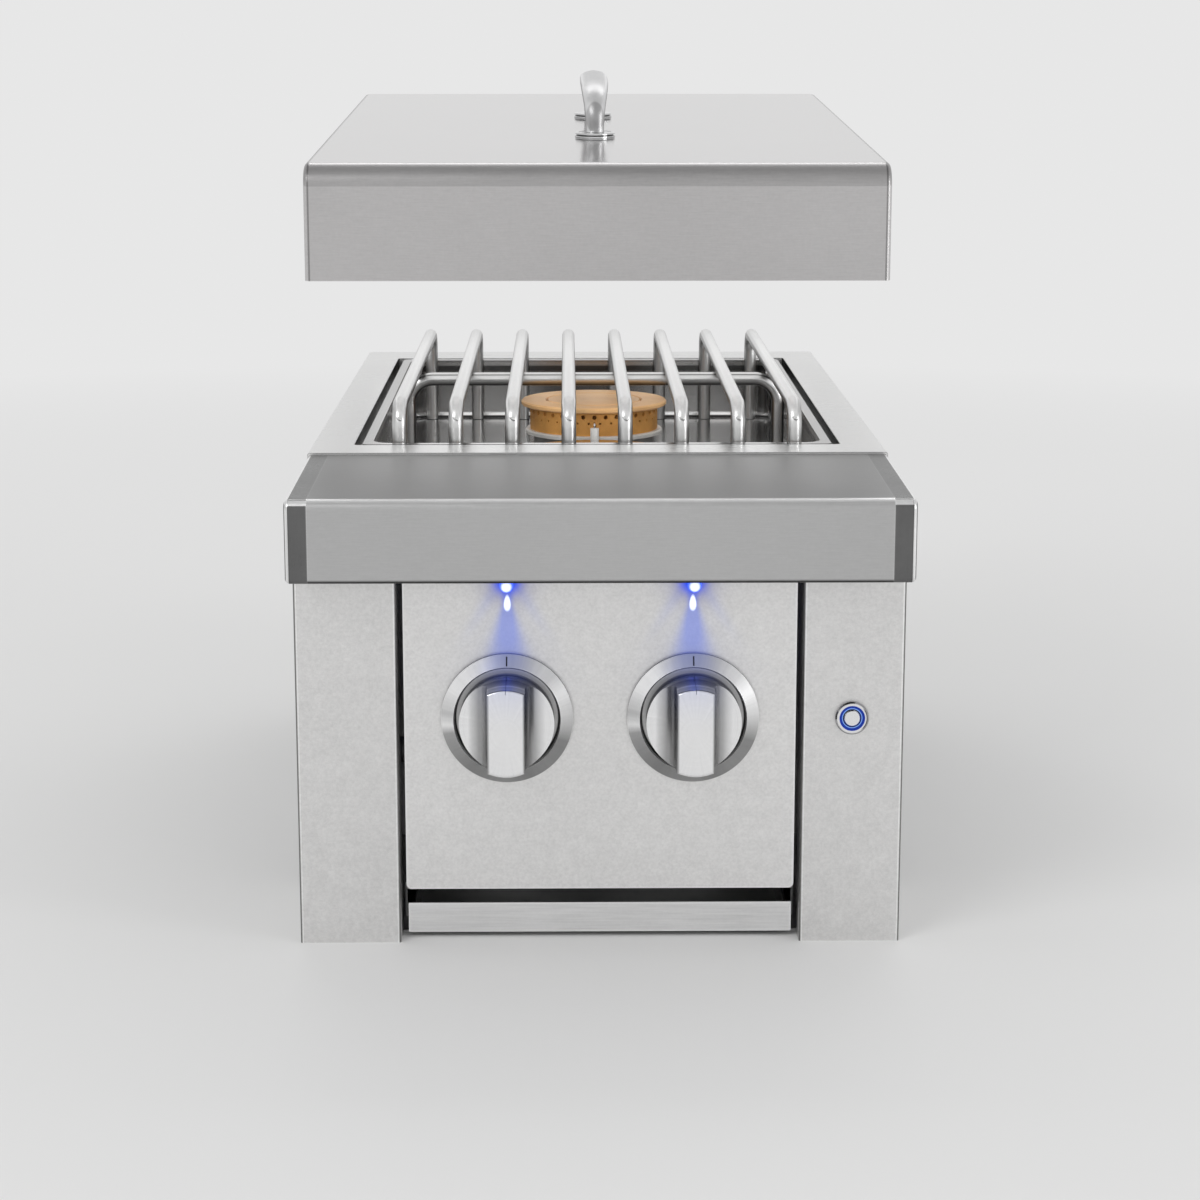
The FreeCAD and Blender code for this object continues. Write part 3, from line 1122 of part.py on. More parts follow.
def power_button():
    """Metal push button in the right column: bezel and barrel, lit ring, cap and nut."""
    axis = (BUTTON_X, "knob_height")
    bezel = turned_piece("button_bezel", "level", [
        ("button_ring", "-button_height + button_edge"), ("button_ring + button_edge", "-button_height"),
        ("button_radius - button_bevel", "-button_height"),
        ("button_radius", "-button_height + button_bevel"), ("button_radius", "0"),
        ("button_barrel", "0"), ("button_barrel", BUTTON_DEPTH), ("button_ring", BUTTON_DEPTH),
    ])
    keep(place(bezel, axis[0], COLUMN_FACE, axis[1]))
    sunk = "-button_height + button_ring_sunk"
    ring = turned_piece("button_light_ring", "level", [
        ("button_cap + joint_gap", sunk), ("button_ring", sunk), ("button_ring", BUTTON_DEPTH),
        ("0", BUTTON_DEPTH), ("0", f"{BUTTON_DEPTH} - sheet"),
        ("button_cap + joint_gap", f"{BUTTON_DEPTH} - sheet"),
    ])
    keep(place(ring, axis[0], COLUMN_FACE, axis[1]))
    cap = turned_piece("button_cap", "level", [
        ("0", "-button_height"), ("button_cap - button_cap_edge", "-button_height"),
        ("button_cap", "-button_height + button_cap_edge"),
        ("button_cap", "button_travel_end"), ("0", "button_travel_end"),
    ])
    keep(place(cap, axis[0], COLUMN_FACE, axis[1]))
    nut = turned_piece("button_nut", "level", [
        ("button_barrel + stem_play", "0"), ("nut_radius", "0"),
        ("nut_radius", "nut_height"), ("button_barrel + stem_play", "nut_height"),
    ])
    keep(place(nut, axis[0], f"{COLUMN_FACE} + sheet", axis[1]))


def lid():
    """Lift-off lid: a folded wedge-shaped cover with a cast handle along its middle."""
    body = new_body("lid_shell")
    front_top = f"({LID_RIM} + lid_front)"
    drawn = sketch_on(body, "lid_section", "side", "-lid_width / 2")
    back_top = f"({LID_RIM} + lid_back)"
    outline(drawn, [
        (FRAME_FRONT, LID_RIM), (LID_BACK, LID_RIM), (LID_BACK, back_top), (FRAME_FRONT, front_top),
    ])
    last = pad(body, drawn, "lid_width")
    last = softened(body, last, "lid_bend", edges_at(last, y=FRAME_FRONT, z=front_top))
    sides = ("-lid_width / 2", "lid_width / 2")
    last = softened(body, last, "lid_corner", [n for a in sides for n in edges_at(last, x=a, y=LID_BACK)])
    flank_edges = [n for a in sides for n in edges_at(last, x=a)]
    rim_level = amount_of(LID_RIM)
    mid_front = amount_of(f"{LID_RIM} + lid_front / 2")
    corner_start = amount_of(f"{LID_BACK} - lid_corner - lid_edge")
    upper = []
    for number, edge in enumerate(last.Shape.Edges, start=1):
        box = edge.BoundBox
        along_flank = number in flank_edges and box.YMin < corner_start and box.ZMax > rim_level + NEAR
        round_back = number not in flank_edges and box.YMin > corner_start and box.ZMin > mid_front
        if along_flank or round_back:
            upper.append(number)
    last = softened(body, last, "lid_edge", upper)
    faces = enumerate(last.Shape.Faces, start=1)
    under = [number for number, face in faces if abs(face.BoundBox.ZMax - rim_level) < NEAR]
    shell = body.newObject("PartDesign::Thickness", "lid_hollow")
    shell.Base = (last, [f"Face{number}" for number in under])
    shell.setExpression("Value", linked("lid_sheet"))
    shell.Reversed = True
    doc.recompute()
    keep(body)
    lid_handle()


def lid_handle():
    """Cast arched handle on two round feet, leaning with the lid's top."""
    slope = math.atan2(amount_of("lid_back - lid_front"), amount_of("lid_depth"))
    middle = amount_of(f"({FRAME_FRONT} + {LID_BACK}) / 2 - handle_forward")
    fall = "handle_forward * (lid_back - lid_front) / lid_depth"
    level = amount_of(f"{LID_RIM} + (lid_front + lid_back) / 2 - {fall}")
    leaning = FreeCAD.Placement(
        FreeCAD.Vector(0, middle, level), FreeCAD.Rotation(FreeCAD.Vector(1, 0, 0), math.degrees(slope))
    )
    half = amount_of("handle_feet / 2")
    rise = amount_of("handle_rise")
    trace = []
    for step in range(HANDLE_SAMPLES + 1):
        angle = math.pi * step / HANDLE_SAMPLES
        across = math.copysign(abs(math.cos(angle)) ** ARCH_POWER, -math.cos(angle)) * half
        trace.append(FreeCAD.Vector(0, across, abs(math.sin(angle)) ** ARCH_POWER * rise))
    travelled = [0]
    for before, after in zip(trace, trace[1:]):
        travelled.append(travelled[-1] + before.distanceToPoint(after))
    rings = []
    for station in range(HANDLE_RINGS):
        reach = travelled[-1] * station / (HANDLE_RINGS - 1)
        number = min(range(len(trace)), key=lambda n: abs(travelled[n] - reach))
        ahead = trace[min(number + 1, HANDLE_SAMPLES)] - trace[max(number - 1, 0)]
        if station in (0, HANDLE_RINGS - 1):
            ahead = FreeCAD.Vector(0, 0, 1 if station == 0 else -1)
        lift = trace[number].z / rise
        ring = doc.addObject("Part::Ellipse", f"handle_ring_{station}")
        swell = amount_of("handle_crown - handle_leg") * lift ** 2
        ring.MajorRadius = (amount_of("handle_leg") + swell) / 2
        ring.MinorRadius = amount_of("handle_thick") / 2
        ring.Placement = FreeCAD.Placement(
            trace[number] + FreeCAD.Vector(0, 0, amount_of("foot_height")),
            FreeCAD.Rotation(FreeCAD.Vector(1, 0, 0), FreeCAD.Vector(0, 1, 0), ahead, "ZXY"),
        )
        ring.recompute()
        rings.append(ring)
    bar = doc.addObject("Part::Loft", "lid_handle")
    bar.Sections = rings
    bar.Solid = True
    bar.Placement = leaning
    bar.recompute()
    keep(bar)
    feet = []
    screws = []
    for number, side in enumerate((-1, 1)):
        foot = doc.addObject("Part::Cylinder", f"handle_foot_{number}")
        foot.setExpression("Radius", linked("foot_radius"))
        foot.setExpression("Height", linked("foot_height"))
        foot.recompute()
        soft = rounded(f"handle_foot_soft_{number}", foot, "foot_height / 3", edges_at(foot, z="foot_height"))
        spot = FreeCAD.Vector(0, side * half, 0)
        soft.Placement = leaning.multiply(FreeCAD.Placement(spot, FreeCAD.Rotation()))
        feet.append(soft)
        screw = doc.addObject("Part::Cylinder", f"handle_screw_{number}")
        screw.setExpression("Radius", linked("handle_leg / 2"))
        screw.setExpression("Height", linked("foot_height"))
        drop = FreeCAD.Vector(0, side * half, -amount_of("lid_sheet + foot_height"))
        screw.Placement = leaning.multiply(FreeCAD.Placement(drop, FreeCAD.Rotation()))
        screw.recompute()
        screws.append(screw)
    keep(group("handle_feet", feet))
    keep(group("handle_screws", screws))


top_frame()
spill_pan()
ledge_cover()
ledge_end_caps()
columns()
control_panel()
fire_box()
tray_runners()
drip_tray()
bar_grate()
burner()
igniter()
tube_cover()
gas_train()
knobs()
lights()
power_button()
lid()
doc.recompute()

for piece in doc.Objects:
    if "Invalid" in piece.State or "Error" in piece.State:
        raise RuntimeError(f"{piece.Name} failed: {piece.State}")
for piece in nodes:
    if piece.Shape.isNull() or not piece.Shape.isValid() or not piece.Shape.Solids:
        raise RuntimeError(f"{piece.Name} has no valid solid")
for piece in nodes:
    piece.Shape.exportStep(f"parts/{piece.Label}.step")
    box = piece.Shape.optimalBoundingBox(True, False)
    spans = ((box.XMin, box.XMax), (box.YMin, box.YMax), (box.ZMin, box.ZMax))
    reach = "  ".join(f"{low:7.1f} {high:7.1f}" for low, high in spans)
    print(f"{piece.Label:22} {len(piece.Shape.Solids):2} {piece.Shape.Volume:10.0f} mm3  {reach}")
print(len(nodes), "sub-parts")
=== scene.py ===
# %% [markdown]
# # A built-in side burner, finished and lit
#
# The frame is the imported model: every sheet, casting and rod already stands in its place.
# This lesson gives each of them a finish, adds the small pieces that only the eye needs,
# and sets up the studio. Everything is in metres, with -Y as the front.

# %% Load the frame
import math
import bmesh
import bpy
from mathutils import Matrix, Vector


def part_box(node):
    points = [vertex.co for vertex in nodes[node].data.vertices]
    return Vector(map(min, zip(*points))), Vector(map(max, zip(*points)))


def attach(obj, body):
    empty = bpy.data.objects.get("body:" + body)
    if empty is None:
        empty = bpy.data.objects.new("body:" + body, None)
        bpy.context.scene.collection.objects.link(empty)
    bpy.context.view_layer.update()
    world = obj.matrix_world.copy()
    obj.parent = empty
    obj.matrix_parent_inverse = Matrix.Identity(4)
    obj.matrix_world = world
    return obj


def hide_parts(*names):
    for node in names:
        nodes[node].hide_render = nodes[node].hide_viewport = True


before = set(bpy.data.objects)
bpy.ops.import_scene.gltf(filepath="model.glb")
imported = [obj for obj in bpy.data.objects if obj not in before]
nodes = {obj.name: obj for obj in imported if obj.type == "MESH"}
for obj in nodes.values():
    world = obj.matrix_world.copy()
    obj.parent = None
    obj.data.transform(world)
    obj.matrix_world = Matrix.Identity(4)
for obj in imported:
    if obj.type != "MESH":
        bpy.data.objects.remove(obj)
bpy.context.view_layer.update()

full_turn = 2 * math.pi

# %% [markdown]
# ## The camera
#
# The burner was photographed with a longer lens from a little above the deck. A long lens
# keeps the columns nearly upright and the ledge wide. The place and the angle come from
# the edges of the deck frame, whose real width and depth are known.

# %% Camera
camera_tilt = 78.12
camera_swing = -0.7


def new_object(name, data):
    """An object in the scene's own collection."""
    made = bpy.data.objects.new(name, data)
    bpy.context.scene.collection.objects.link(made)
    return made


lens_data = bpy.data.cameras.new("studio_camera")
lens_data.lens = 81
lens_data.sensor_width = 36
camera = new_object("studio_camera", lens_data)
camera.location = (-0.019, -1.851, 0.536)
camera.rotation_euler = (math.radians(camera_tilt), 0, math.radians(camera_swing))
bpy.context.scene.camera = camera
bpy.context.scene.view_settings.view_transform = "Standard"
print("camera at", tuple(round(v, 3) for v in camera.location))

# %% [markdown]
# ## Short words for nodes
#
# A finish is a small web of nodes, and most of its nodes are sums. A helper for each kind
# keeps the cells short: one puts a node into a tree with its settings and inputs, some do
# sums with numbers, and some with colours and places. A sum goes into the tree of the
# outputs that it takes, so only a node that starts a web needs to be told its tree.

# %% Helpers for nodes and sums
def connect(inputs, sockets):
    """Each named input linked to a node's output, or set to a plain value."""
    for name, value in inputs.items():
        if isinstance(value, bpy.types.NodeSocket):
            value.id_data.links.new(value, sockets[name])
        else:
            sockets[name].default_value = value


def put(tree, kind, inputs=None, **settings):
    """A node with its settings; an input is a value or another node's output."""
    made = tree.nodes.new(kind)
    for name, value in settings.items():
        setattr(made, name, value)
    connect(inputs or {}, made.inputs)
    return made


def home(*values):
    """The tree of the first value that is a node's output."""
    return next(value.id_data for value in values if isinstance(value, bpy.types.NodeSocket))


def calc(operation, *values):
    """One sum, as a Math node's output."""
    made = put(home(*values), "ShaderNodeMath", dict(enumerate(values)), operation=operation)
    return made.outputs[0]


def plus(first, second):
    """Two numbers added."""
    return calc("ADD", first, second)


def minus(first, second):
    """The second number taken from the first."""
    return calc("SUBTRACT", first, second)


def times(first, second):
    """Two numbers multiplied."""
    return calc("MULTIPLY", first, second)


def gap(first, second):
    """How far two numbers lie apart."""
    return calc("ABSOLUTE", minus(first, second))


def squares(first, second):
    """The sum of two squares, which is a distance squared."""
    return plus(calc("POWER", first, 2), calc("POWER", second, 2))


def lifted(level, mask, amount):
    """A level raised by a share of a mask."""
    return calc("MULTIPLY_ADD", mask, amount, level)


def stirred(level, mask, amount):
    """A level moved up and down by a mask from 0 to 1."""
    return lifted(level, minus(mask, 0.5), amount)


def spread(value, low, high, to_low, to_high):
    """A value taken from one span to another, held at its ends."""
    inputs = {"Value": value, "From Min": low, "From Max": high, "To Min": to_low, "To Max": to_high}
    return put(home(value), "ShaderNodeMapRange", inputs).outputs["Result"]


# %% Helpers for colours and places
def vector(operation, *values):
    """One sum of colours or places, as a Vector Math node's output."""
    made = put(home(*values), "ShaderNodeVectorMath", dict(enumerate(values)), operation=operation)
    return made.outputs[0]


def measure(operation, *values):
    """One number taken from places or directions, such as a length."""
    return vector(operation, *values).node.outputs["Value"]


def tint(first, second):
    """Two colours multiplied."""
    return vector("MULTIPLY", first, second)


def scaled(colour, level):
    """A colour made brighter or darker by a number."""
    inputs = {0: colour, "Scale": level}
    return put(home(level), "ShaderNodeVectorMath", inputs, operation="SCALE").outputs[0]


def capped(colour, level):
    """A scaled colour that stays below pure white."""
    return vector("MINIMUM", scaled(colour, level), (0.97, 0.97, 0.97))


def blend(amount, first, second):
    """A colour between two others; a plain colour is three numbers."""
    ends = [end if isinstance(end, bpy.types.NodeSocket) else (*end, 1) for end in (first, second)]
    made = put(home(amount), "ShaderNodeMix", {0: amount, 6: ends[0], 7: ends[1]}, data_type="RGBA")
    return made.outputs[2]


def where(tree):
    """The place of a point on its piece."""
    return put(tree, "ShaderNodeTexCoord").outputs["Object"]


def split(value):
    """The X, Y and Z of a place or direction."""
    return put(home(value), "ShaderNodeSeparateXYZ", {"Vector": value}).outputs


def noise(place, scale, detail=2, roughness=0.5):
    """Soft noise from 0 to 1."""
    inputs = {"Vector": place, "Scale": scale, "Detail": detail, "Roughness": roughness}
    return put(home(place), "ShaderNodeTexNoise", inputs).outputs["Fac"]


def scratched(height, strength, distance):
    """The normal of a surface with fine relief."""
    inputs = {"Height": height, "Strength": strength, "Distance": distance}
    return put(home(height), "ShaderNodeBump", inputs).outputs[0]


# %% [markdown]
# ## Groups, rows of tones and finishes
#
# A group is a web that several finishes share. One helper opens a group with named inputs
# and outputs, and one places it in a finish. A row of tones is a ramp that turns a number
# into a grey or a colour. Each finish starts as a Principled shader, kept by its name.

# %% Helpers for groups, tones and finishes
plain = [(0, 1), (1, 1)]
finish = {}


def new_tree(name, kind, inputs, outputs):
    """An empty tree of nodes with named inputs and outputs."""
    tree = bpy.data.node_groups.new(name, kind)
    for way, sockets in (("INPUT", inputs), ("OUTPUT", outputs)):
        for label, value in sockets.items():
            tree.interface.new_socket(label, in_out=way, socket_type=f"NodeSocket{value}")
    return tree, tree.nodes.new("NodeGroupInput").outputs, tree.nodes.new("NodeGroupOutput").inputs


def new_group(name, inputs, *outputs):
    """An empty shader group that puts out numbers."""
    return new_tree(name, "ShaderNodeTree", inputs, dict.fromkeys(outputs, "Float"))


def use(tree, group, **values):
    """A group placed in a finish with its own values."""
    made = tree.nodes.new("ShaderNodeGroup")
    made.node_tree = group
    connect(values, made.inputs)
    return made.outputs


def tones(value, stops):
    """A row of tones over a value from 0 to 1; a tone is a grey or a colour."""
    ramp = put(home(value), "ShaderNodeValToRGB", {"Fac": value})
    marks = ramp.color_ramp.elements
    while len(marks) < len(stops):
        marks.new(0.5)
    for mark, (place, tone) in zip(marks, stops):
        mark.position = place
        mark.color = (*tone, 1) if isinstance(tone, tuple) else (tone, tone, tone, 1)
    return ramp.outputs["Color"]


def bands(value, low, high, stops):
    """A row of tones over a value from low to high."""
    return tones(spread(value, low, high, 0, 1), stops)


def new_finish(name):
    """A fresh finish, kept by its name: its tree and its shader's inputs."""
    finish[name] = bpy.data.materials.new(name)
    finish[name].use_nodes = True
    tree = finish[name].node_tree
    return tree, tree.nodes["Principled BSDF"].inputs


# %% [markdown]
# ## The studio floor
#
# The real photo was cut out on black. Here the burner stands on a plain pale floor, so
# its shadow shows. Near the burner the floor is matt paper that takes light and shadow.
# Further out it fades into one even tone, the same as the sky's at the horizon, so no
# seam crosses the picture.

# %% Floor
horizon_tone = 0.8
floor_reach = 60
paper_tones = [(0.8, 0.8, 0.8), (0.83, 0.83, 0.825)]
fade_from = 0.7
fade_to = 2.6
floor_mesh = bpy.data.meshes.new("studio_floor")
corners = [(x * floor_reach, y * floor_reach, 0) for x, y in ((-1, -1), (1, -1), (1, 1), (-1, 1))]
floor_mesh.from_pydata(corners, [], [(0, 1, 2, 3)])
floor = new_object("studio_floor", floor_mesh)
tree, skin = new_finish("pale_floor")
place = where(tree)
paper = blend(noise(place, 1.5), *paper_tones)
connect({"Base Color": paper, "Roughness": 0.9, "Specular IOR Level": 0.1}, skin)
even = put(tree, "ShaderNodeEmission", {"Color": (horizon_tone, horizon_tone, horizon_tone, 1)})
far = spread(measure("LENGTH", place), fade_from, fade_to, 0, 1)
near = tree.nodes["Principled BSDF"].outputs[0]
both = put(tree, "ShaderNodeMixShader", {0: far, 1: near, 2: even.outputs[0]})
connect({"Surface": both.outputs[0]}, tree.nodes["Material Output"].inputs)
floor_mesh.materials.append(finish["pale_floor"])
print("floor", floor_reach * 2, "m wide")

# %% [markdown]
# ## The light
#
# Brushed steel shows what stands around it, so the room matters more than the lamps. The
# sky is pale near the horizon and a little darker overhead and at the sides. Dull surfaces
# get a little more of it than mirrors do, because they also see the room behind the camera.

# %% World
overhead_tone = 0.56
beside_share = 0.72
dull_gain = 1.16
world = bpy.data.worlds.new("studio_world")
world.use_nodes = True
bpy.context.scene.world = world
tree = world.node_tree
tree.nodes.clear()
way = split(put(tree, "ShaderNodeTexCoord").outputs["Generated"])
overhead = spread(way["Z"], 0.25, 0.95, horizon_tone, overhead_tone)
beside = spread(calc("ABSOLUTE", way["X"]), 0.35, 0.95, 1, beside_share)
seen = put(tree, "ShaderNodeLightPath").outputs
shown = calc("MAXIMUM", seen["Is Camera Ray"], seen["Is Glossy Ray"])
shown = calc("MAXIMUM", shown, seen["Is Transmission Ray"])
strength = spread(shown, 0, 1, dull_gain, 1)
sky = put(tree, "ShaderNodeBackground", {"Color": times(overhead, beside), "Strength": strength})
put(tree, "ShaderNodeOutputWorld", {"Surface": sky.outputs[0]})
print("sky tone", horizon_tone, "at the horizon,", overhead_tone, "overhead")

# %% [markdown]
# ## The lamps
#
# Three soft lamps stand high at the front left, high behind and low at the right. The
# raised lid would keep the grate and the burner in the dark, so a soft box hangs a little
# below it. It is low enough that the lid covers it when it is closed. A narrow spot that
# no mirror shows reaches the dull burner head.

# %% Lamps
def hang(name, data, place, target):
    """A lamp at a place that looks at a point."""
    lamp = new_object(name, data)
    lamp.location = place
    lamp.rotation_euler = (Vector(target) - Vector(place)).to_track_quat("-Z", "Y").to_euler()
    return lamp


def soft_box(name, place, target, wide, tall, watts):
    """A rectangular lamp."""
    data = bpy.data.lights.new(name, "AREA")
    data.shape = "RECTANGLE"
    data.size = wide
    data.size_y = tall
    data.energy = watts
    return hang(name, data, place, target)


unit_middle = (0, 0, 0.25)
soft_box("front_left_box", (-1.5, -1.9, 2.1), unit_middle, wide=1.4, tall=1, watts=15)
soft_box("rear_top_box", (0.1, 1.3, 2), (0, 0.05, 0.3), wide=1.8, tall=0.7, watts=7)
soft_box("right_box", (1.9, -1.2, 0.75), unit_middle, wide=0.8, tall=0.9, watts=7)
under_lid = soft_box("under_lid_box", (0, 0.072, 0.345), (0, 0.072, 0), wide=0.33, tall=0.5, watts=0.33)
under_lid.visible_camera = False
spot_data = bpy.data.lights.new("burner_spot", "SPOT")
spot_data.energy = 34
spot_data.spot_size = math.radians(13)
spot_data.spot_blend = 0.6
spot_data.shadow_soft_size = 0.12
burner_spot = hang("burner_spot", spot_data, (-0.15, -1.5, 0.68), (0, 0.07, 0.27))
burner_spot.visible_glossy = False

# %% [markdown]
# ## What the finishes share
#
# Rolled and brushed steel has fine parallel scratches and broad faint clouds from the mill, and its edges
# catch more light than the flats, which is painted into the colour as an edge highlight. Each is a group, so
# the ledge, the columns and the lid can use it with their own direction and strength.

# %% Brushed grain
grain_inputs = {"Along": "Vector", "Cloud": "Float", "Fine": "Float"}
grain_group, given, result = new_group("brushed_grain", grain_inputs, "Grain", "Cloud", "Speck")
tree = grain_group
place = where(tree)
masks = {
    "Grain": noise(tint(place, given["Along"]), 1, detail=4, roughness=0.65),
    "Cloud": noise(place, given["Cloud"], detail=3),
    "Speck": noise(place, given["Fine"], detail=3, roughness=0.7),
}
connect({name: spread(mask, 0.28, 0.72, 0, 1) for name, mask in masks.items()}, result)
print("grain group:", list(masks))

# %% Edge light
# Painted highlight: a mask that is one where the surface rounds off at an edge, added to the colour.
edge_group, given, result = new_group("edge_light", {"Radius": "Float"}, "Edge")
tree = edge_group
rounded = put(tree, "ShaderNodeBevel", {"Radius": given["Radius"]}, samples=6).outputs[0]
flat = put(tree, "ShaderNodeNewGeometry").outputs["Normal"]
meet = measure("DOT_PRODUCT", rounded, flat)
connect({"Edge": spread(meet, 0.995, 0.8, 0, 1)}, result)
print("edge group:", edge_group.name)

# %% [markdown]
# ## Round a knob
#
# Knobs and bezels are drawn by angle and distance from the knob's axle. The panel needs the same, because it
# gets painted shade inside the ring of the bezel.

# %% Where a point lies round its knob
knob_x = 0.055
knob_height = 0.139
axle_group, _, result = new_group("round_the_axle", {}, "Clock", "Reach", "Across", "Rise", "Depth")
tree = axle_group
place = split(where(tree))
side = minus(place["X"], times(calc("SIGN", place["X"]), knob_x))
rise = minus(place["Z"], knob_height)
turn = calc("DIVIDE", calc("ARCTAN2", side, rise), full_turn)
connect({
    "Clock": calc("FRACT", plus(turn, 1)),
    "Reach": calc("SQRT", squares(side, rise)),
    "Across": side,
    "Rise": rise,
    "Depth": times(place["Y"], -1),
}, result)
print("knobs at x", knob_x, "z", knob_height)

# %% [markdown]
# ## How folds take the light
#
# A folded sheet mirrors a different part of the room at each angle of its fold, so in a dark studio a fold
# reads as a dark line beside a bright one. Here the room is pale all round. The same look is painted into the
# colour instead, as rows of highlight and shade tones that follow the way a surface faces: one row from
# upright to level, and one from front to side. The group puts out each way to face as a number.

# %% Facing
facing_group, _, result = new_group("facing", {}, "Up", "Side", "Right", "Front", "Open", "Inward")
tree = facing_group
faced = split(put(tree, "ShaderNodeTexCoord").outputs["Normal"])
hand = calc("SIGN", split(where(tree))["X"])
connect({
    "Up": faced["Z"],
    "Side": calc("ABSOLUTE", faced["X"]),
    "Right": lifted(0.5, faced["X"], 0.5),
    "Front": times(faced["Y"], -1),
    "Open": calc("MAXIMUM", faced["Z"], calc("ABSOLUTE", faced["Y"])),
    "Inward": times(times(faced["X"], hand), -1),
}, result)
print("ways to face:", list(result.keys()))

# %% [markdown]
# ## The lights under the ledge
#
# Two small blue lights shine down the panel onto the bezels. A lamp alone would be lost
# in the studio light, so the glow is part of the finish: deep blue close round the lens,
# a violet shade beyond it, then a narrow beam that widens and fades downwards, two faint
# side rays, and a white drop where the lens mirrors itself. The group puts out one mask
# for each.

# %% Glow of the two lights
light_x = 0.0545
lens_low, lens_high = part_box("led_lenses")
light_z = lens_low.z
light_y = (lens_low.y + lens_high.y) / 2
beam_top = 0.2285
beam_spread = 0.28
beam_length = 0.066
beam_start = 0.0028
beam_least = 0.0032
ray_spread = 0.6
ray_half = 0.0042
ray_length = 0.032
glow_heart = 0.221
near_reach = 0.0074
shade_reach = 0.0145
drop_place = 0.2081
drop_half = 0.0048
drop_widths = (0.0015, 0.0025)


def bell(value, size, power=2):
    """One at zero, fading with distance."""
    steep = calc("POWER", calc("DIVIDE", value, size), power)
    return calc("EXPONENT", times(steep, -1))


glow_group, _, result = new_group("light_glow", {}, "Near", "Shade", "Beam", "Drop")
tree = glow_group
place = split(where(tree))
across = gap(calc("ABSOLUTE", place["X"]), light_x)
below = calc("MAXIMUM", minus(beam_top, place["Z"]), 0)
wide = minus(times(below, beam_spread), beam_start)
ratio = calc("DIVIDE", across, calc("MAXIMUM", wide, beam_least))
core = plus(bell(ratio, 1, 3), times(bell(ratio, 2), 0.16))
ray_line = gap(across, times(below, ray_spread))
ray_fade = times(bell(below, ray_length, 3), 0.3)
rays = times(bell(ray_line, ray_half), ray_fade)
beam = plus(times(core, bell(below, beam_length, 5)), rays)
round_lens = calc("SQRT", squares(across, minus(place["Z"], glow_heart)))
drop_low = calc("DIVIDE", minus(drop_place, place["Z"]), drop_half)
taper = spread(drop_low, -1, 1, *drop_widths)
drop = squares(drop_low, calc("DIVIDE", across, taper))
connect({
    "Near": bell(round_lens, near_reach, 2.8),
    "Shade": bell(round_lens, shade_reach, 2.4),
    "Beam": calc("MINIMUM", beam, 1),
    "Drop": spread(drop, 0.55, 1.25, 1, 0),
}, result)
print("lights at x", light_x, "z", round(light_z, 4))

# %% Glow over a colour
beam_blue = (0.16, 0.27, 0.95)
shade_violet = (0.12, 0.11, 0.4)
near_blue = (0, 0.02, 0.55)
shining_blue = (0, 0.1, 1)
shining_white = (0.85, 0.92, 1)


def blue_light(tree, skin, colour, depth, own=(0, 0, 0)):
    """The painted glow laid over a colour: tinted blue by the painted beam, with a little light added to its
    own.
    """
    lit = use(tree, glow_group)
    amount = times(lit["Beam"], depth)
    beam_tinted = blend(amount, colour, beam_blue)
    dusk = blend(times(lit["Shade"], 0.45), beam_tinted, shade_violet)
    shine = plus(times(lit["Near"], 0.55), times(amount, 0.12))
    blue = scaled(shining_blue, shine)
    white = scaled(shining_white, lit["Drop"])
    connect({
        "Base Color": blend(lit["Near"], dusk, near_blue),
        "Emission Color": vector("ADD", vector("ADD", blue, white), own),
        "Emission Strength": 1,
    }, skin)


# %% [markdown]
# ## Steel finishes
#
# All sheet is stainless, but the photo shows it in several tones: columns and panel are pale and mottled, the
# ledge is a darker satin with its grain running across, the deck and the lid are light and smooth. One
# function draws them all, with a painted highlight on the edges and rows of painted highlight and shade that
# follow the way a surface faces. What differs is the base colour, the roughness, the grain's direction and
# these painted tones. Inside the ring of a bezel the panel is a recess that would mirror only dark, so it
# gets a row of painted shade and a faint painted glow of its own.

# %% Steel
looking_down = (-0.15, -0.6)
looking_in = (0.5, 0.9)
nearly_level = (0.9, 0.99)
recess_span = (0.027, 0.033)
recess_edge = (0.03, 0.0304)
recess_glow = 0.11


def steel(name, tone, rough, along, cloud, bump=0.02, edge=0.25, edge_radius=0.0012, mottle=0.06,
          streak=0.05, fine=420, speck=0.04, up=plain, side=plain, level_rough=None, glow=0,
          under=1, inward_shade=1, recess=None, height_shading=None):
    """A brushed or satin stainless finish with painted highlights and shade that follow the way it faces."""
    tree, skin = new_finish(name)
    marks = use(tree, grain_group, Along=along, Cloud=cloud, Fine=fine)
    faced = use(tree, facing_group)
    # Painted edge highlight; a negative strength paints the edges darker.
    level = lifted(1, use(tree, edge_group, Radius=edge_radius)["Edge"], edge)
    for mark, amount in (("Grain", streak), ("Cloud", mottle), ("Speck", speck)):
        level = stirred(level, marks[mark], amount)
    # Painted shade on faces turned down, and on faces turned in towards the middle.
    level = times(level, spread(faced["Up"], *looking_down, 1, under))
    level = times(level, spread(faced["Inward"], *looking_in, 1, inward_shade))
    own = (0, 0, 0)
    # Painted highlight and shade in bands by height.
    if height_shading:
        level = times(level, bands(split(where(tree))["Z"], *height_shading))
    # Painted shade inside the ring of the bezel, and a faint painted glow at its edge.
    if recess:
        reach = use(tree, axle_group)["Reach"]
        level = times(level, bands(reach, *recess_span, recess))
        own = spread(reach, *recess_edge, recess_glow, 0)
    # Painted highlight and shade of the folds, by the way the surface faces.
    folded = tint(tint(tones(faced["Up"], up), tone), tones(faced["Side"], side))
    worn = stirred(stirred(rough, marks["Grain"], 0.08), marks["Cloud"], 0.05)
    if level_rough is not None:
        worn = plus(worn, spread(faced["Up"], *nearly_level, 0, level_rough - rough))
    relief = scratched(marks["Grain"], bump, 0.0004)
    connect({"Metallic": 1, "Roughness": worn, "Normal": relief}, skin)
    colour = capped(folded, level)
    if glow:
        blue_light(tree, skin, colour, glow, own)
    else:
        connect({"Base Color": colour}, skin)
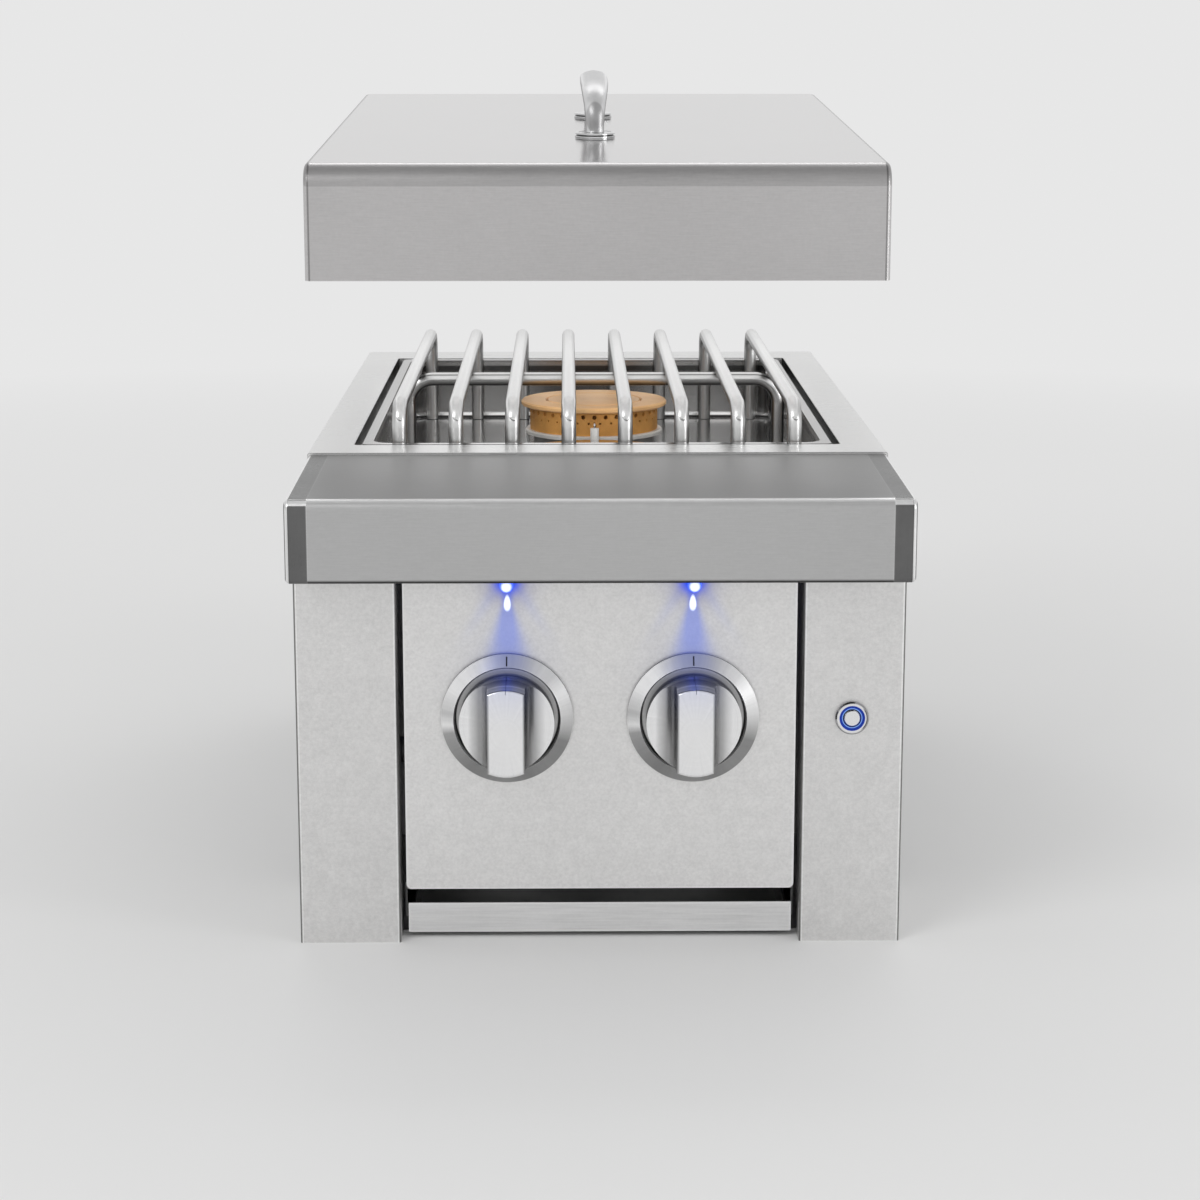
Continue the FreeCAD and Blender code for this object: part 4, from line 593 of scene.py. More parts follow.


# %% Painted highlight and shade of the folds
# A stop is a place from 0 to 1 and its tone. These rows paint highlights and shade into the colour: the folds
# go by the way a surface faces, the recess row by the distance from the knob's axle and the rim row by
# height.
sheet_fold_shading = [(0, 1), (0.05, 1.12), (0.2, 1.3), (0.38, 1), (0.55, 0.28), (0.86, 0.26), (0.96, 0.85)]
panel_fold_shading = [(0, 1), (0.05, 1.05), (0.3, 1.25), (0.85, 1.2), (1, 0.8)]
ledge_fold_shading = [(0.45, 1), (0.66, 1.12), (0.8, 1.6), (0.93, 1.8), (0.985, 1.45), (0.997, 0.65), (1, 0.62)]
lid_fold_shading = [(0, 1), (0.03, 0.98), (0.08, 0.8), (0.2, 0.76), (0.46, 0.74), (0.69, 0.68), (0.86, 0.66),
            (0.945, 0.74), (0.972, 1.8), (0.99, 1.25)]
lid_side_shading = [(0.05, 1), (0.12, 0.5), (0.28, 0.55), (0.45, 1.15), (0.85, 1.2), (1, 0.85)]
deck_fold_shading = [(0, 0.95), (0.3, 1)]
cap_fold_shading = [(0, 1), (0.4, 0.95), (0.5, 5.5), (0.84, 6), (0.93, 1), (0.97, 2.6), (0.995, 1.15), (1, 1.1)]
cap_side_shading = [(0.08, 1), (0.16, 0.45), (0.24, 4.6), (0.7, 6), (0.84, 1), (0.95, 0.9), (1, 2.2)]
# Painted highlight and shade at the pan's coves: a bright line above a nearly black contact shade at the
# floor.
cove_fold_shading = [(0, 0.95), (0.1, 1), (0.25, 1.75), (0.55, 1.75), (0.68, 0.1), (0.96, 0.05), (0.995, 0.72)]
# Painted shade on the panel inside the bezel's ring: half tone inside, nearly black in a thin band near its
# edge.
recess_shade_steps = [(0, 0.5), (0.45, 0.6), (0.55, 0.04), (0.68, 0.04), (0.72, 1)]
# Painted highlight and shade on the pan's rear rim, by height: a dark band below a bright one.
rim_shading_band = [(0.25, 1), (0.36, 0.35), (0.6, 0.35), (0.68, 1.5), (0.8, 1.75), (0.9, 1.3), (0.97, 1)]
# Painted shade: the upright walls of the feet nearly black, the tops bright.
foot_fold_shading = [(0, 0.04), (0.04, 0.8), (0.5, 1)]
print("stops in the lid's row:", len(lid_fold_shading))

# %% Steel of each kind
across_grain = (30, 700, 700)
short_grain = (80, 1200, 1200)
upright_grain = (700, 700, 30)
rim_heights = (0.268, 0.281)
mill = {"cloud": 110, "mottle": 0.06, "streak": 0.03, "fine": 520, "speck": 0.15}
polished = {"bump": 0.004, "mottle": 0.05, "streak": 0.02}
# The columns and the panel: painted highlight and shade on their side folds, and painted highlights on their
# edges.
steel("front_steel", (0.765, 0.76, 0.755), 0.44, across_grain, **mill, edge=0.3, side=sheet_fold_shading)
steel("panel_steel", (0.815, 0.81, 0.805), 0.44, across_grain, **mill, edge=0.7, edge_radius=0.002,
      side=panel_fold_shading, glow=0.56, recess=recess_shade_steps)
steel("strip_steel", (0.81, 0.81, 0.81), 0.36, across_grain, 30, mottle=0.04, streak=0.16, edge=0.6,
      edge_radius=0.0026)
# The ledge: a painted highlight along its rounded front edge, and painted shade on faces turned down.
steel("ledge_steel", (0.5, 0.5, 0.5), 0.38, short_grain, 6, mottle=0.05, streak=0.1, up=ledge_fold_shading,
      under=0.12)
# The end caps: their dark tone stands for the darker reflection of their curved faces, and the rows paint
# bright highlights on their rounds.
steel("end_cap_steel", (0.15, 0.15, 0.15), 0.3, upright_grain, 45, mottle=0.14, streak=0.08, edge=0.8,
      up=cap_fold_shading, side=cap_side_shading)
# The deck: a negative edge strength paints its edges darker, and faces turned in towards the pan get painted
# shade, nearly black.
steel("deck_steel", (0.82, 0.82, 0.815), 0.3, across_grain, 12, mottle=0.04, streak=0.03, up=deck_fold_shading,
      edge=-0.5, edge_radius=0.0018, inward_shade=0.05)
# The lid: painted shade and a painted highlight along its front bend, and painted highlight and shade on its
# side rounds.
steel("lid_steel", (0.535, 0.525, 0.525), 0.4, short_grain, 5, mottle=0.09, streak=0.12, speck=0.06,
      up=lid_fold_shading, side=lid_side_shading, level_rough=0.12)
steel("box_steel", (0.55, 0.55, 0.55), 0.42, across_grain, 22, mottle=0.12)
# The pan: painted highlight and shade on its coves, and painted bands on its rim.
steel("pan_steel", (0.56, 0.555, 0.55), 0.16, across_grain, 30, **polished, speck=0.02, up=cove_fold_shading,
      height_shading=(*rim_heights, rim_shading_band))
steel("rim_steel", (0.74, 0.735, 0.73), 0.22, across_grain, 30, **polished)
steel("bright_steel", (0.76, 0.76, 0.765), 0.16, across_grain, 60, **polished)
# The drip tray sits in the shade of the slot behind the front strip, so its dark tone is painted shade.
steel("tray_steel", (0.22, 0.22, 0.22), 0.34, across_grain, 20, mottle=0.08)
steel("foot_steel", (0.84, 0.84, 0.845), 0.18, across_grain, 60, bump=0.003, edge=0.2,
      edge_radius=0.0003, up=foot_fold_shading)
print(len(finish), "finishes so far")

# %% [markdown]
# ## Round steel
#
# The grate's rods and the lid's handle are round and bright. A round bar is painted with a highlight band
# where it faces up or forward, a band of painted shade between the two, and a painted dark outline, and it
# can be painted darker where it faces down. These painted tones follow the larger of the two directions, so
# legs and cross pieces both work. The front leg of the handle also has a flat facet shaped like a leaf, and
# its darker reflection is painted in there.

# %% Round steel for rods and handle
leaf_height = 0.4802
leaf_width = 0.0062
leaf_rise = 0.0105


def leaf(tree, faced, dark):
    """The share of light that is left on the handle's front leaf."""
    off = vector("SUBTRACT", where(tree), (0, 0, leaf_height))
    reach = measure("LENGTH", tint(off, (1 / leaf_width, 0, 1 / leaf_rise)))
    ahead = spread(faced["Front"], 0.2, 0.5, 0, dark)
    return minus(1, times(spread(reach, 0.92, 1.03, 1, 0), ahead))


def round_steel(name, tone, rough, open_shading, mottle=0.05, streak=0.04, side=plain, leaf_shade=0, under=1):
    """A bright round bar with painted bands of highlight and shade along it, and a painted darker leaf on its
    front leg.
    """
    tree, skin = new_finish(name)
    marks = use(tree, grain_group, Along=upright_grain, Cloud=45, Fine=600)
    faced = use(tree, facing_group)
    # Painted highlight and shade by the way the bar faces.
    banded = tint(tones(faced["Open"], open_shading), tone)
    level = stirred(stirred(1, marks["Cloud"], mottle), marks["Grain"], streak)
    # Painted shade where the bar faces down.
    level = times(level, spread(faced["Up"], -0.45, -0.1, under, 1))
    # Painted darker reflection on the leaf-shaped facet of the front leg.
    if leaf_shade:
        level = times(level, leaf(tree, faced, leaf_shade))
    connect({
        "Metallic": 1,
        "Base Color": scaled(tint(tones(faced["Side"], side), banded), level),
        "Roughness": lifted(rough, marks["Cloud"], 0.06),
        "Normal": scratched(marks["Speck"], 0.01, 0.0002),
    }, skin)


# Rows of painted highlight and shade for the grate's bars and rod and for the handle.
bar_shading = [(0, 0.3), (0.22, 0.24), (0.38, 0.48), (0.5, 0.84), (0.74, 0.8), (0.88, 0.93), (1, 0.9)]
rod_shading = [(0, 0.24), (0.45, 0.2), (0.62, 0.2), (0.74, 0.24), (0.8, 0.9), (0.93, 1.05), (1, 0.95)]
handle_shading = [(0, 0.55), (0.25, 0.95), (0.5, 1), (0.72, 1.05), (0.9, 0.85), (1, 0.8)]
handle_side_shading = [(0, 0.85), (0.4, 0.92), (0.66, 1.15), (0.86, 1.05), (0.97, 0.35)]
round_steel("grate_steel", (0.86, 0.86, 0.855), 0.3, bar_shading, streak=0.1)
round_steel("rod_steel", (0.84, 0.84, 0.835), 0.3, rod_shading, under=0.35)
round_steel("handle_steel", (0.8, 0.8, 0.805), 0.36, handle_shading, mottle=0.02, streak=0.01, leaf_shade=0.3,
            side=handle_side_shading)
print(len(finish), "finishes so far")

# %% [markdown]
# ## Turned steel
#
# Knobs and bezels are turned on a lathe, so their scratches run in circles and the light breaks into bright
# and dark rays. A stretched highlight could give the rays, but it needs a dark room. Here the rays are
# painted, as a row of tones round the clock, so they show in any room, with rings of fine noise for the
# scratches. The scoops of the grip get painted shade as they turn towards the bar, the walls of the knob and
# the bezel get painted shade where they face sideways, the walls of the knob also get painted bands of
# highlight and shade from front to rear, and the knob's lip gets a painted highlight.

# %% Turned steel for knobs and bezels
knob_rear = 0.3055
knob_front = 0.3415
hairline_half = 0.00022
hairline_from = 0.0235
lip_highlight_fronts = [(0, 0), (0.6, 0), (0.67, 1), (0.77, 1), (0.83, 0)]


def turned_steel(name, tone, rough, clock_reflections, side_shading, front_shading, glow, hairline=0,
                 depth_shading=plain, lip_highlight_sides=plain):
    """A lathe-turned finish with painted light and dark rays round the knob's axle, and painted highlight and
    shade on its walls.
    """
    tree, skin = new_finish(name)
    spot = use(tree, axle_group)
    faced = use(tree, facing_group)
    ring_place = put(tree, "ShaderNodeCombineXYZ", {"X": spot["Reach"]}).outputs[0]
    rings = noise(ring_place, 1150, detail=3, roughness=0.7)
    angle = times(spot["Clock"], full_turn)
    on_circle = {"X": calc("SINE", angle), "Y": calc("COSINE", angle)}
    round_place = put(tree, "ShaderNodeCombineXYZ", on_circle).outputs[0]
    rays = noise(round_place, 14, detail=4, roughness=0.6)
    # Painted reflection rays round the clock, painted shade on the scoops, and painted shade on walls that
    # face sideways.
    colour = tint(tones(spot["Clock"], clock_reflections), tones(faced["Right"], side_shading))
    colour = tint(colour, tones(faced["Front"], front_shading))
    # Painted bands of highlight and shade on the knob's walls, from front to rear.
    stepped = bands(spot["Depth"], knob_rear, knob_front, depth_shading)
    on_wall = spread(faced["Front"], 0.3, 0.55, 1, 0)
    colour = tint(colour, blend(on_wall, (1, 1, 1), stepped))
    # A painted highlight on the knob's lip.
    lip = times(tones(faced["Front"], lip_highlight_fronts), tones(faced["Right"], lip_highlight_sides))
    colour = blend(lip, colour, (1.05, 1.05, 1.05))
    # Rings of noise for the turning scratches, and noise round the clock that breaks up the painted rays.
    level = lifted(lifted(0.73, rings, 0.3), rays, 0.24)
    # Painted edge highlight.
    level = lifted(level, use(tree, edge_group, Radius=0.0006)["Edge"], 0.55)
    if hairline:
        line = calc("LESS_THAN", calc("ABSOLUTE", spot["Across"]), hairline_half)
        line = times(line, calc("GREATER_THAN", spot["Rise"], hairline_from))
        level = times(level, minus(1, times(line, hairline)))
    connect({
        "Metallic": 1,
        "Roughness": lifted(rough, rings, 0.06),
        "Normal": scratched(rings, 0.03, 0.0003),
    }, skin)
    blue_light(tree, skin, capped(tint(colour, tone), level), glow)


# Rows of painted reflection, highlight and shade for the bezels and the knobs.
bezel_reflection_rays = [(0, 0.5), (0.07, 0.72), (0.1, 0.84), (0.13, 0.72), (0.18, 0.92), (0.24, 0.86), (0.28, 0.62),
              (0.31, 0.36), (0.4, 0.4), (0.44, 0.34), (0.5, 0.42), (0.6, 0.34), (0.71, 0.48),
              (0.735, 1.05), (0.765, 0.7), (0.83, 1.15), (0.87, 0.95), (0.92, 0.5)]
bezel_wall_shading = [(0, 0.3), (0.42, 0.34), (0.5, 0.45), (0.64, 1.3), (0.8, 1.3), (0.87, 1)]
knob_scoop_shading = [(0, 0.34), (0.07, 0.42), (0.2, 0.44), (0.36, 0.74), (0.45, 1), (0.55, 0.98), (0.66, 0.78),
              (0.78, 0.5), (0.93, 0.34), (1, 0.28)]
knob_wall_shading = [(0.3, 0.62), (0.6, 0.95), (0.9, 1)]
knob_step_shading = [(0, 0.6), (0.08, 0.5), (0.12, 0.06), (0.18, 0.06), (0.22, 1.2), (0.4, 1.45), (0.44, 0.55),
              (0.7, 0.66), (0.75, 1.5), (0.8, 0.75), (1, 0.85)]
knob_lip_highlight = [(0.28, 0), (0.38, 1), (0.62, 1), (0.72, 0)]
turned_steel("bezel_steel", (0.86, 0.86, 0.86), 0.3, bezel_reflection_rays, plain, bezel_wall_shading, 0.35)
turned_steel("knob_steel", (0.91, 0.91, 0.915), 0.22, plain, knob_scoop_shading, knob_wall_shading, 0.3, hairline=0.7,
             depth_shading=knob_step_shading, lip_highlight_sides=knob_lip_highlight)
print(len(finish), "finishes so far")

# %% [markdown]
# ## Brass, castings, ceramic and plastic
#
# The burner head is brass-coloured and matt, like a casting that was blasted: a lighter tan on the cap on top
# and browner on the head below, with fine pits. The ceramic is glazed white. The plastic and the sleeve of
# the igniter lead are plain, with a little moulded grain.

# %% Cast and moulded finishes
pit_grain = (900, 900, 900)


def cast(name, tone, dark_tone, rough, metallic, depth=0.12, edge=0.2, coat=0):
    """A matt finish with pits, clouds of a second tone and painted highlights on its edges."""
    tree, skin = new_finish(name)
    marks = use(tree, grain_group, Along=pit_grain, Cloud=55, Fine=420)
    mixed = blend(spread(marks["Cloud"], 0.2, 0.8, 0, 1), tone, dark_tone)
    level = lifted(0.95, marks["Grain"], 0.1)
    # Painted highlight on the edges.
    level = lifted(level, use(tree, edge_group, Radius=0.0009)["Edge"], edge)
    connect({
        "Metallic": metallic,
        "Coat Weight": coat,
        "Base Color": scaled(mixed, level),
        "Roughness": lifted(rough, marks["Speck"], 0.1),
        "Normal": scratched(marks["Grain"], depth, 0.0003),
    }, skin)


cast("brass", (0.74, 0.37, 0.1), (0.55, 0.26, 0.065), 0.45, 0.2)
cast("brass_top", (0.98, 0.6, 0.28), (0.93, 0.54, 0.24), 0.42, 0.12)
cast("valve_brass", (0.78, 0.6, 0.3), (0.7, 0.52, 0.25), 0.3, 1, depth=0.04)
cast("pale_casting", (0.8, 0.78, 0.74), (0.7, 0.68, 0.65), 0.42, 0.3, depth=0.08)
cast("grey_casting", (0.42, 0.41, 0.4), (0.33, 0.32, 0.31), 0.55, 0.9)
cast("ceramic", (0.96, 0.95, 0.92), (0.94, 0.93, 0.89), 0.5, 0, depth=0.02, edge=0.02, coat=0.1)
cast("dark_plastic", (0.035, 0.035, 0.037), (0.05, 0.05, 0.05), 0.45, 0, depth=0.1)
cast("lead_sleeve", (0.46, 0.09, 0.05), (0.38, 0.07, 0.04), 0.5, 0, depth=0.05)
cast("index_paint", (0.01, 0.012, 0.05), (0.01, 0.012, 0.03), 0.5, 0, depth=0.02, edge=0)
print(len(finish), "finishes so far")

# %% [markdown]
# ## Lit plastic
#
# The lenses under the ledge are so bright that they read as white with a blue skirt, and
# the ring in the push button is a dimmer blue. The lens shines from its middle outwards.
# The button's bezel, ring and cap are so small that one row of rings draws all three, with painted shade in
# the gap between cap and ring and a painted dark reflection on the bezel.

# %% Lit lenses
lens_heart = (light_x, abs(light_y - 0.004), light_z + 0.0036)
white_reach = 0.0026
blue_reach = 0.0042
tree, skin = new_finish("lens")
place = where(tree)
away = measure("DISTANCE", vector("ABSOLUTE", place), lens_heart)
away = lifted(away, noise(place, 900), blue_reach * 0.1)
shade = spread(away, white_reach, blue_reach, 0, 1)
connect({
    "Base Color": (0.1, 0.2, 0.7, 1),
    "Roughness": 0.18,
    "Emission Color": blend(shade, (0.92, 0.96, 1), (0, 0.08, 1)),
    "Emission Strength": 1,
}, skin)
print("lens shines from", [round(v, 4) for v in lens_heart])

# %% Push button
ring_low, ring_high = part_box("button_light_ring")
metal = (0.86, 0.86, 0.87)
outer_edge_metal = (0.45, 0.45, 0.46)
deep_blue = (0.008, 0.03, 0.24)
light_blue = (0.2, 0.36, 0.8)
button_reach = 0.01
# Painted shade: the thin nearly black rings between the cap and the lit ring stand for the gap there. The
# bezel turns darker at its outer edge.
button_rings = [(0.49, metal), (0.51, (0.02, 0.02, 0.04)), (0.545, (0.02, 0.03, 0.06)),
                (0.575, light_blue), (0.62, deep_blue), (0.75, deep_blue), (0.78, metal), (0.87, metal),
                (0.94, outer_edge_metal)]
lit_from = 0.005
lit_to = 0.0077
arc_reach = 0.0088
arc_turn = 1.65
tree, skin = new_finish("button_steel")
place = where(tree)
off = vector("SUBTRACT", place, (ring_low + ring_high) / 2)
flat = tint(off, (1, 0, 1))
reach = measure("LENGTH", flat)
ringed = bands(reach, 0, button_reach, button_rings)
lit = times(calc("GREATER_THAN", reach, lit_from), calc("LESS_THAN", reach, lit_to))
seen = split(flat)
turn = calc("ARCTAN2", seen["X"], seen["Z"])
# A painted dark reflection: an arc on the bezel's right side is darkened.
arc = times(spread(gap(turn, arc_turn), 0.6, 0.9, 1, 0),
            spread(gap(reach, arc_reach), 0.0002, 0.0005, 1, 0))
level = minus(1.04, times(noise(place, 1200), 0.08))
level = times(level, minus(1, times(arc, 0.85)))
connect({
    "Base Color": scaled(ringed, level),
    "Metallic": minus(1, lit),
    "Roughness": lifted(0.16, lit, 0.25),
    "Specular IOR Level": 0.12,
    "Emission Color": scaled(ringed, lit),
    "Emission Strength": 0.5,
}, skin)
print(len(finish), "finishes in all")

# %% [markdown]
# ## Handing out the finishes
#
# Every piece of the frame keeps its shape and gets the finish that the real one has. One
# list says which pieces share a finish.

# %% Finish of each piece
wearing = {
    "front_steel": ["pillar_left", "pillar_right"],
    "strip_steel": ["tray_front"],
    "panel_steel": ["control_panel"],
    "ledge_steel": ["nose_cover"],
    "end_cap_steel": ["nose_end_cap_left", "nose_end_cap_right"],
    "deck_steel": ["top_frame"],
    "lid_steel": ["lid_shell"],
    "box_steel": ["box_side_left", "box_side_right", "box_rear", "box_floor", "heat_shield",
                  "tray_runner_left", "tray_runner_right", "manifold_brackets", "supply_pipe", "manifold",
                  "mixing_tube_left", "mixing_tube_right", "air_shutters"],
    "tray_steel": ["drip_tray"],
    "pan_steel": ["spill_pan"],
    "rim_steel": ["tube_cover"],
    "handle_steel": ["lid_handle"],
    "bright_steel": ["handle_feet", "rear_screws", "handle_screws", "igniter_electrode", "button_nut",
                     "valve_stem_left", "valve_stem_right"],
    "grate_steel": ["grate_bars"],
    "rod_steel": ["grate_cross_rod"],
    "bezel_steel": ["knob_bezel_left", "knob_bezel_right"],
    "knob_steel": ["knob_left", "knob_right"],
    "button_steel": ["button_bezel", "button_cap", "button_light_ring"],
    "brass": ["burner_head"],
    "brass_top": ["burner_cap_outer", "burner_cap_inner"],
    "valve_brass": ["valve_body_left", "valve_body_right", "valve_plug_left", "valve_plug_right", "orifices",
                    "gas_inlet_fitting"],
    "pale_casting": ["burner_seat_ring"],
    "grey_casting": ["burner_base"],
    "ceramic": ["igniter_insulator"],
    "dark_plastic": ["power_module", "led_housings"],
    "lead_sleeve": ["igniter_lead"],
    "lens": ["led_lenses"],
}
for name, wearers in wearing.items():
    for wearer in wearers:
        slots = nodes[wearer].data.materials
        slots.clear()
        slots.append(finish[name])
bare = set(nodes) - {wearer for wearers in wearing.values() for wearer in wearers}
print("pieces without a finish:", sorted(bare))

# %% [markdown]
# ## Making new pieces
#
# The small pieces below are drawn in place, in metres, and ride on the body that they are
# fixed to. Most are rows of points with faces between them. One helper turns a finished
# shape into a piece with a finish.

# %% Helpers for new pieces
def circle(count):
    """Points round a circle of radius one."""
    return [(math.cos(full_turn * n / count), math.sin(full_turn * n / count)) for n in range(count)]


def row_of(shape, spots):
    """A row of points in a shape."""
    return [shape.verts.new(spot) for spot in spots]


def wrap(shape, rows):
    """Faces from each closed row of points to the next; a row may be a single point."""
    around = max(len(row) for row in rows)
    for lower, upper in zip(rows, rows[1:]):
        for n in range(around):
            after = (n + 1) % around
            corners = [lower[n % len(lower)], lower[after % len(lower)]]
            corners += [upper[after % len(upper)], upper[n % len(upper)]]
            shape.faces.new(list(dict.fromkeys(corners)))


def outline(shape, row):
    """The edges round a closed row of points."""
    return [shape.edges.get((row[n], row[(n + 1) % len(row)])) for n in range(len(row))]


def mesh_of(shape, name):
    """A mesh from a bmesh, with its faces turned outwards."""
    bmesh.ops.remove_doubles(shape, verts=shape.verts, dist=1e-7)
    bmesh.ops.recalc_face_normals(shape, faces=shape.faces)
    mesh = bpy.data.meshes.new(name)
    shape.to_mesh(mesh)
    shape.free()
    return mesh


def new_piece(name, mesh, material, body, smooth=True):
    """A finished piece from a mesh, riding on a body of the frame."""
    piece = new_object(name, mesh)
    mesh.materials.clear()
    mesh.materials.append(finish[material])
    for face in mesh.polygons:
        face.use_smooth = smooth
    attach(piece, body)
    print(name, len(mesh.polygons), "faces")
    return piece


# %% [markdown]
# ## Index marks
#
# Each bezel has one thin dark line above the knob. It is a filled groove on the real one.
# A very thin softened bar that lies on the bezel's slope and stands a few hundredths of a
# millimetre proud looks the same.

# %% Index marks on the bezels
slope_inner = 0.0317
slope_outer = 0.039
slope_drop = 0.0035
mark_half = 0.00045
mark_sunk = -0.00006
mark_back = 0.0004
mark_from = 0.0324
mark_to = 0.0377
mark_soft = 0.00006


def bevelled_bar(shape, low, high, soft):
    """A small bar with softened edges, added to a bmesh."""
    middle = (Vector(low) + Vector(high)) / 2
    size = Vector(high) - Vector(low)
    place = Matrix.Translation(middle) @ Matrix.Diagonal((*size, 1.0))
    made = bmesh.ops.create_cube(shape, size=1.0, matrix=place)
    edges = list({edge for vert in made["verts"] for edge in vert.link_edges})
    bmesh.ops.bevel(shape, geom=edges, offset=soft, segments=2, affect="EDGES")


fall = slope_drop / (slope_outer - slope_inner)
for hand, side in (("left", -1), ("right", 1)):
    bezel_low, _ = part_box(f"knob_bezel_{hand}")
    shape = bmesh.new()
    low = (side * knob_x - mark_half, mark_sunk, mark_from)
    high = (side * knob_x + mark_half, mark_back, mark_to)
    bevelled_bar(shape, low, high, mark_soft)
    for vert in shape.verts:
        vert.co.y += bezel_low.y + (vert.co.z - slope_inner) * fall
        vert.co.z += knob_height
    name = f"bezel_mark_{hand}"
    new_piece(name, mesh_of(shape, name), "index_paint", "unit")

# %% [markdown]
# ## The screws of the rear wall
#
# Six pan-head screws hold the rear wall. Each is the same, so one head is modelled and
# Geometry Nodes set it on a grid of two columns and three rows. The head is a low dome
# with a cross cut into it.

# %% One screw head
dome_steps = [(1.0, 0.0), (0.97, 0.55), (0.9, 0.82), (0.76, 0.97)]
dome_sides = 24


def screw_head(radius, tall):
    """A pan head on the origin that rises along +Z, with a cross recess."""
    shape = bmesh.new()
    arm = radius * 0.55
    slim = radius * 0.16
    recess_floor = tall * 0.55
    rows = []
    for part, level in dome_steps:
        ring = [(radius * part * x, radius * part * y, tall * level) for x, y in circle(dome_sides)]
        rows.append(row_of(shape, ring))
    wrap(shape, rows)
    shape.faces.new(list(reversed(rows[0])))
    cross = [(slim, slim), (slim, arm), (-slim, arm), (-slim, slim), (-arm, slim), (-arm, -slim),
             (-slim, -slim), (-slim, -arm), (slim, -arm), (slim, -slim), (arm, -slim), (arm, slim)]
    upper = row_of(shape, [(x, y, tall) for x, y in cross])
    lower = row_of(shape, [(x * 0.8, y * 0.8, recess_floor) for x, y in cross])
    wrap(shape, [lower, upper])
    shape.faces.new(lower)
    edges = outline(shape, rows[-1]) + outline(shape, upper)
    bmesh.ops.triangle_fill(shape, use_beauty=True, edges=edges)
    return mesh_of(shape, "screw_head")


print(len(dome_steps), "rings to a head")

# %% [markdown]
# ## Rows made by Geometry Nodes
#
# A bare object carries the tree while its mesh is worked out. Only the plain mesh is kept.

# %% Helpers for geometry trees
def new_grower(name, inputs):
    """An empty geometry tree, with named inputs after its mesh."""
    mesh = {"Geometry": "Geometry"}
    return new_tree(name, "GeometryNodeTree", mesh | inputs, mesh)


def finished(placed, material):
    """The copies made real, with a finish."""
    real = put(home(placed), "GeometryNodeRealizeInstances", {"Geometry": placed})
    inputs = {"Geometry": real.outputs[0], "Material": material}
    return put(home(placed), "GeometryNodeSetMaterial", inputs).outputs[0]


def grown(name, tree, values):
    """The plain mesh that a geometry tree makes with these values."""
    holder = new_object(f"{name}_holder", bpy.data.meshes.new(f"{name}_start"))
    maker = holder.modifiers.new(name, "NODES")
    maker.node_group = tree
    for item in tree.interface.items_tree:
        if item.in_out == "INPUT" and item.name in values:
            maker[item.identifier] = values[item.name]
    graph = bpy.context.evaluated_depsgraph_get()
    mesh = bpy.data.meshes.new_from_object(holder.evaluated_get(graph))
    bpy.data.objects.remove(holder)
    return mesh


# %% Six screws on a grid
screw_rise = 0.2475
head_across = 0.008
facing_back = (-math.pi / 2, 0.0, 0.0)
screw_inputs = {"Width": "Float", "Rise": "Float", "Middle": "Vector", "Finish": "Material"}
screw_tree, given, result = new_grower("screw_grid", screw_inputs)
rear_low, rear_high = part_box("rear_screws")
head_radius = (rear_high.z - rear_low.z - screw_rise) / 2
head_object = new_object("screw_head_pattern", screw_head(head_radius, rear_high.y - rear_low.y))
grid = put(screw_tree, "GeometryNodeMeshGrid", {
    "Size X": given["Width"], "Size Y": given["Rise"], "Vertices X": 2, "Vertices Y": 3})
upright = put(screw_tree, "GeometryNodeTransform", {
    "Geometry": grid.outputs["Mesh"], "Translation": given["Middle"], "Rotation": facing_back})
turn = put(screw_tree, "FunctionNodeRandomValue", {
    "Min": (0.0, 0.0, 0.0), "Max": (0.0, 0.0, 1.5), "Seed": 4}, data_type="FLOAT_VECTOR")
face_back = put(screw_tree, "FunctionNodeRotateEuler", {
    "Rotation": facing_back, "Rotate By": turn.outputs["Value"]}, space="LOCAL")
pattern = put(screw_tree, "GeometryNodeObjectInfo", {"Object": head_object})
heads = put(screw_tree, "GeometryNodeInstanceOnPoints", {
    "Points": upright.outputs["Geometry"], "Instance": pattern.outputs["Geometry"],
    "Rotation": face_back.outputs[0]})
connect({"Geometry": finished(heads.outputs[0], given["Finish"])}, result)
middle = (rear_low + rear_high) / 2
screws = grown("rear_screw_heads", screw_tree, {
    "Width": rear_high.x - rear_low.x - head_across, "Rise": rear_high.z - rear_low.z - head_across,
    "Middle": (middle.x, rear_low.y, middle.z), "Finish": finish["bright_steel"]})
bpy.data.objects.remove(head_object)
screw_piece = new_piece("rear_screw_heads", screws, "bright_steel", "unit", smooth=False)
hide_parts("rear_screws")

# %% [markdown]
# ## The feet of the handle
#
# Each end of the handle stands on a turned foot: two thin discs with a groove between them; the finish paints
# the upright walls almost black as the groove's shade, and the tops bright. The profile goes once round the
# foot's axis, which leans with the lid.

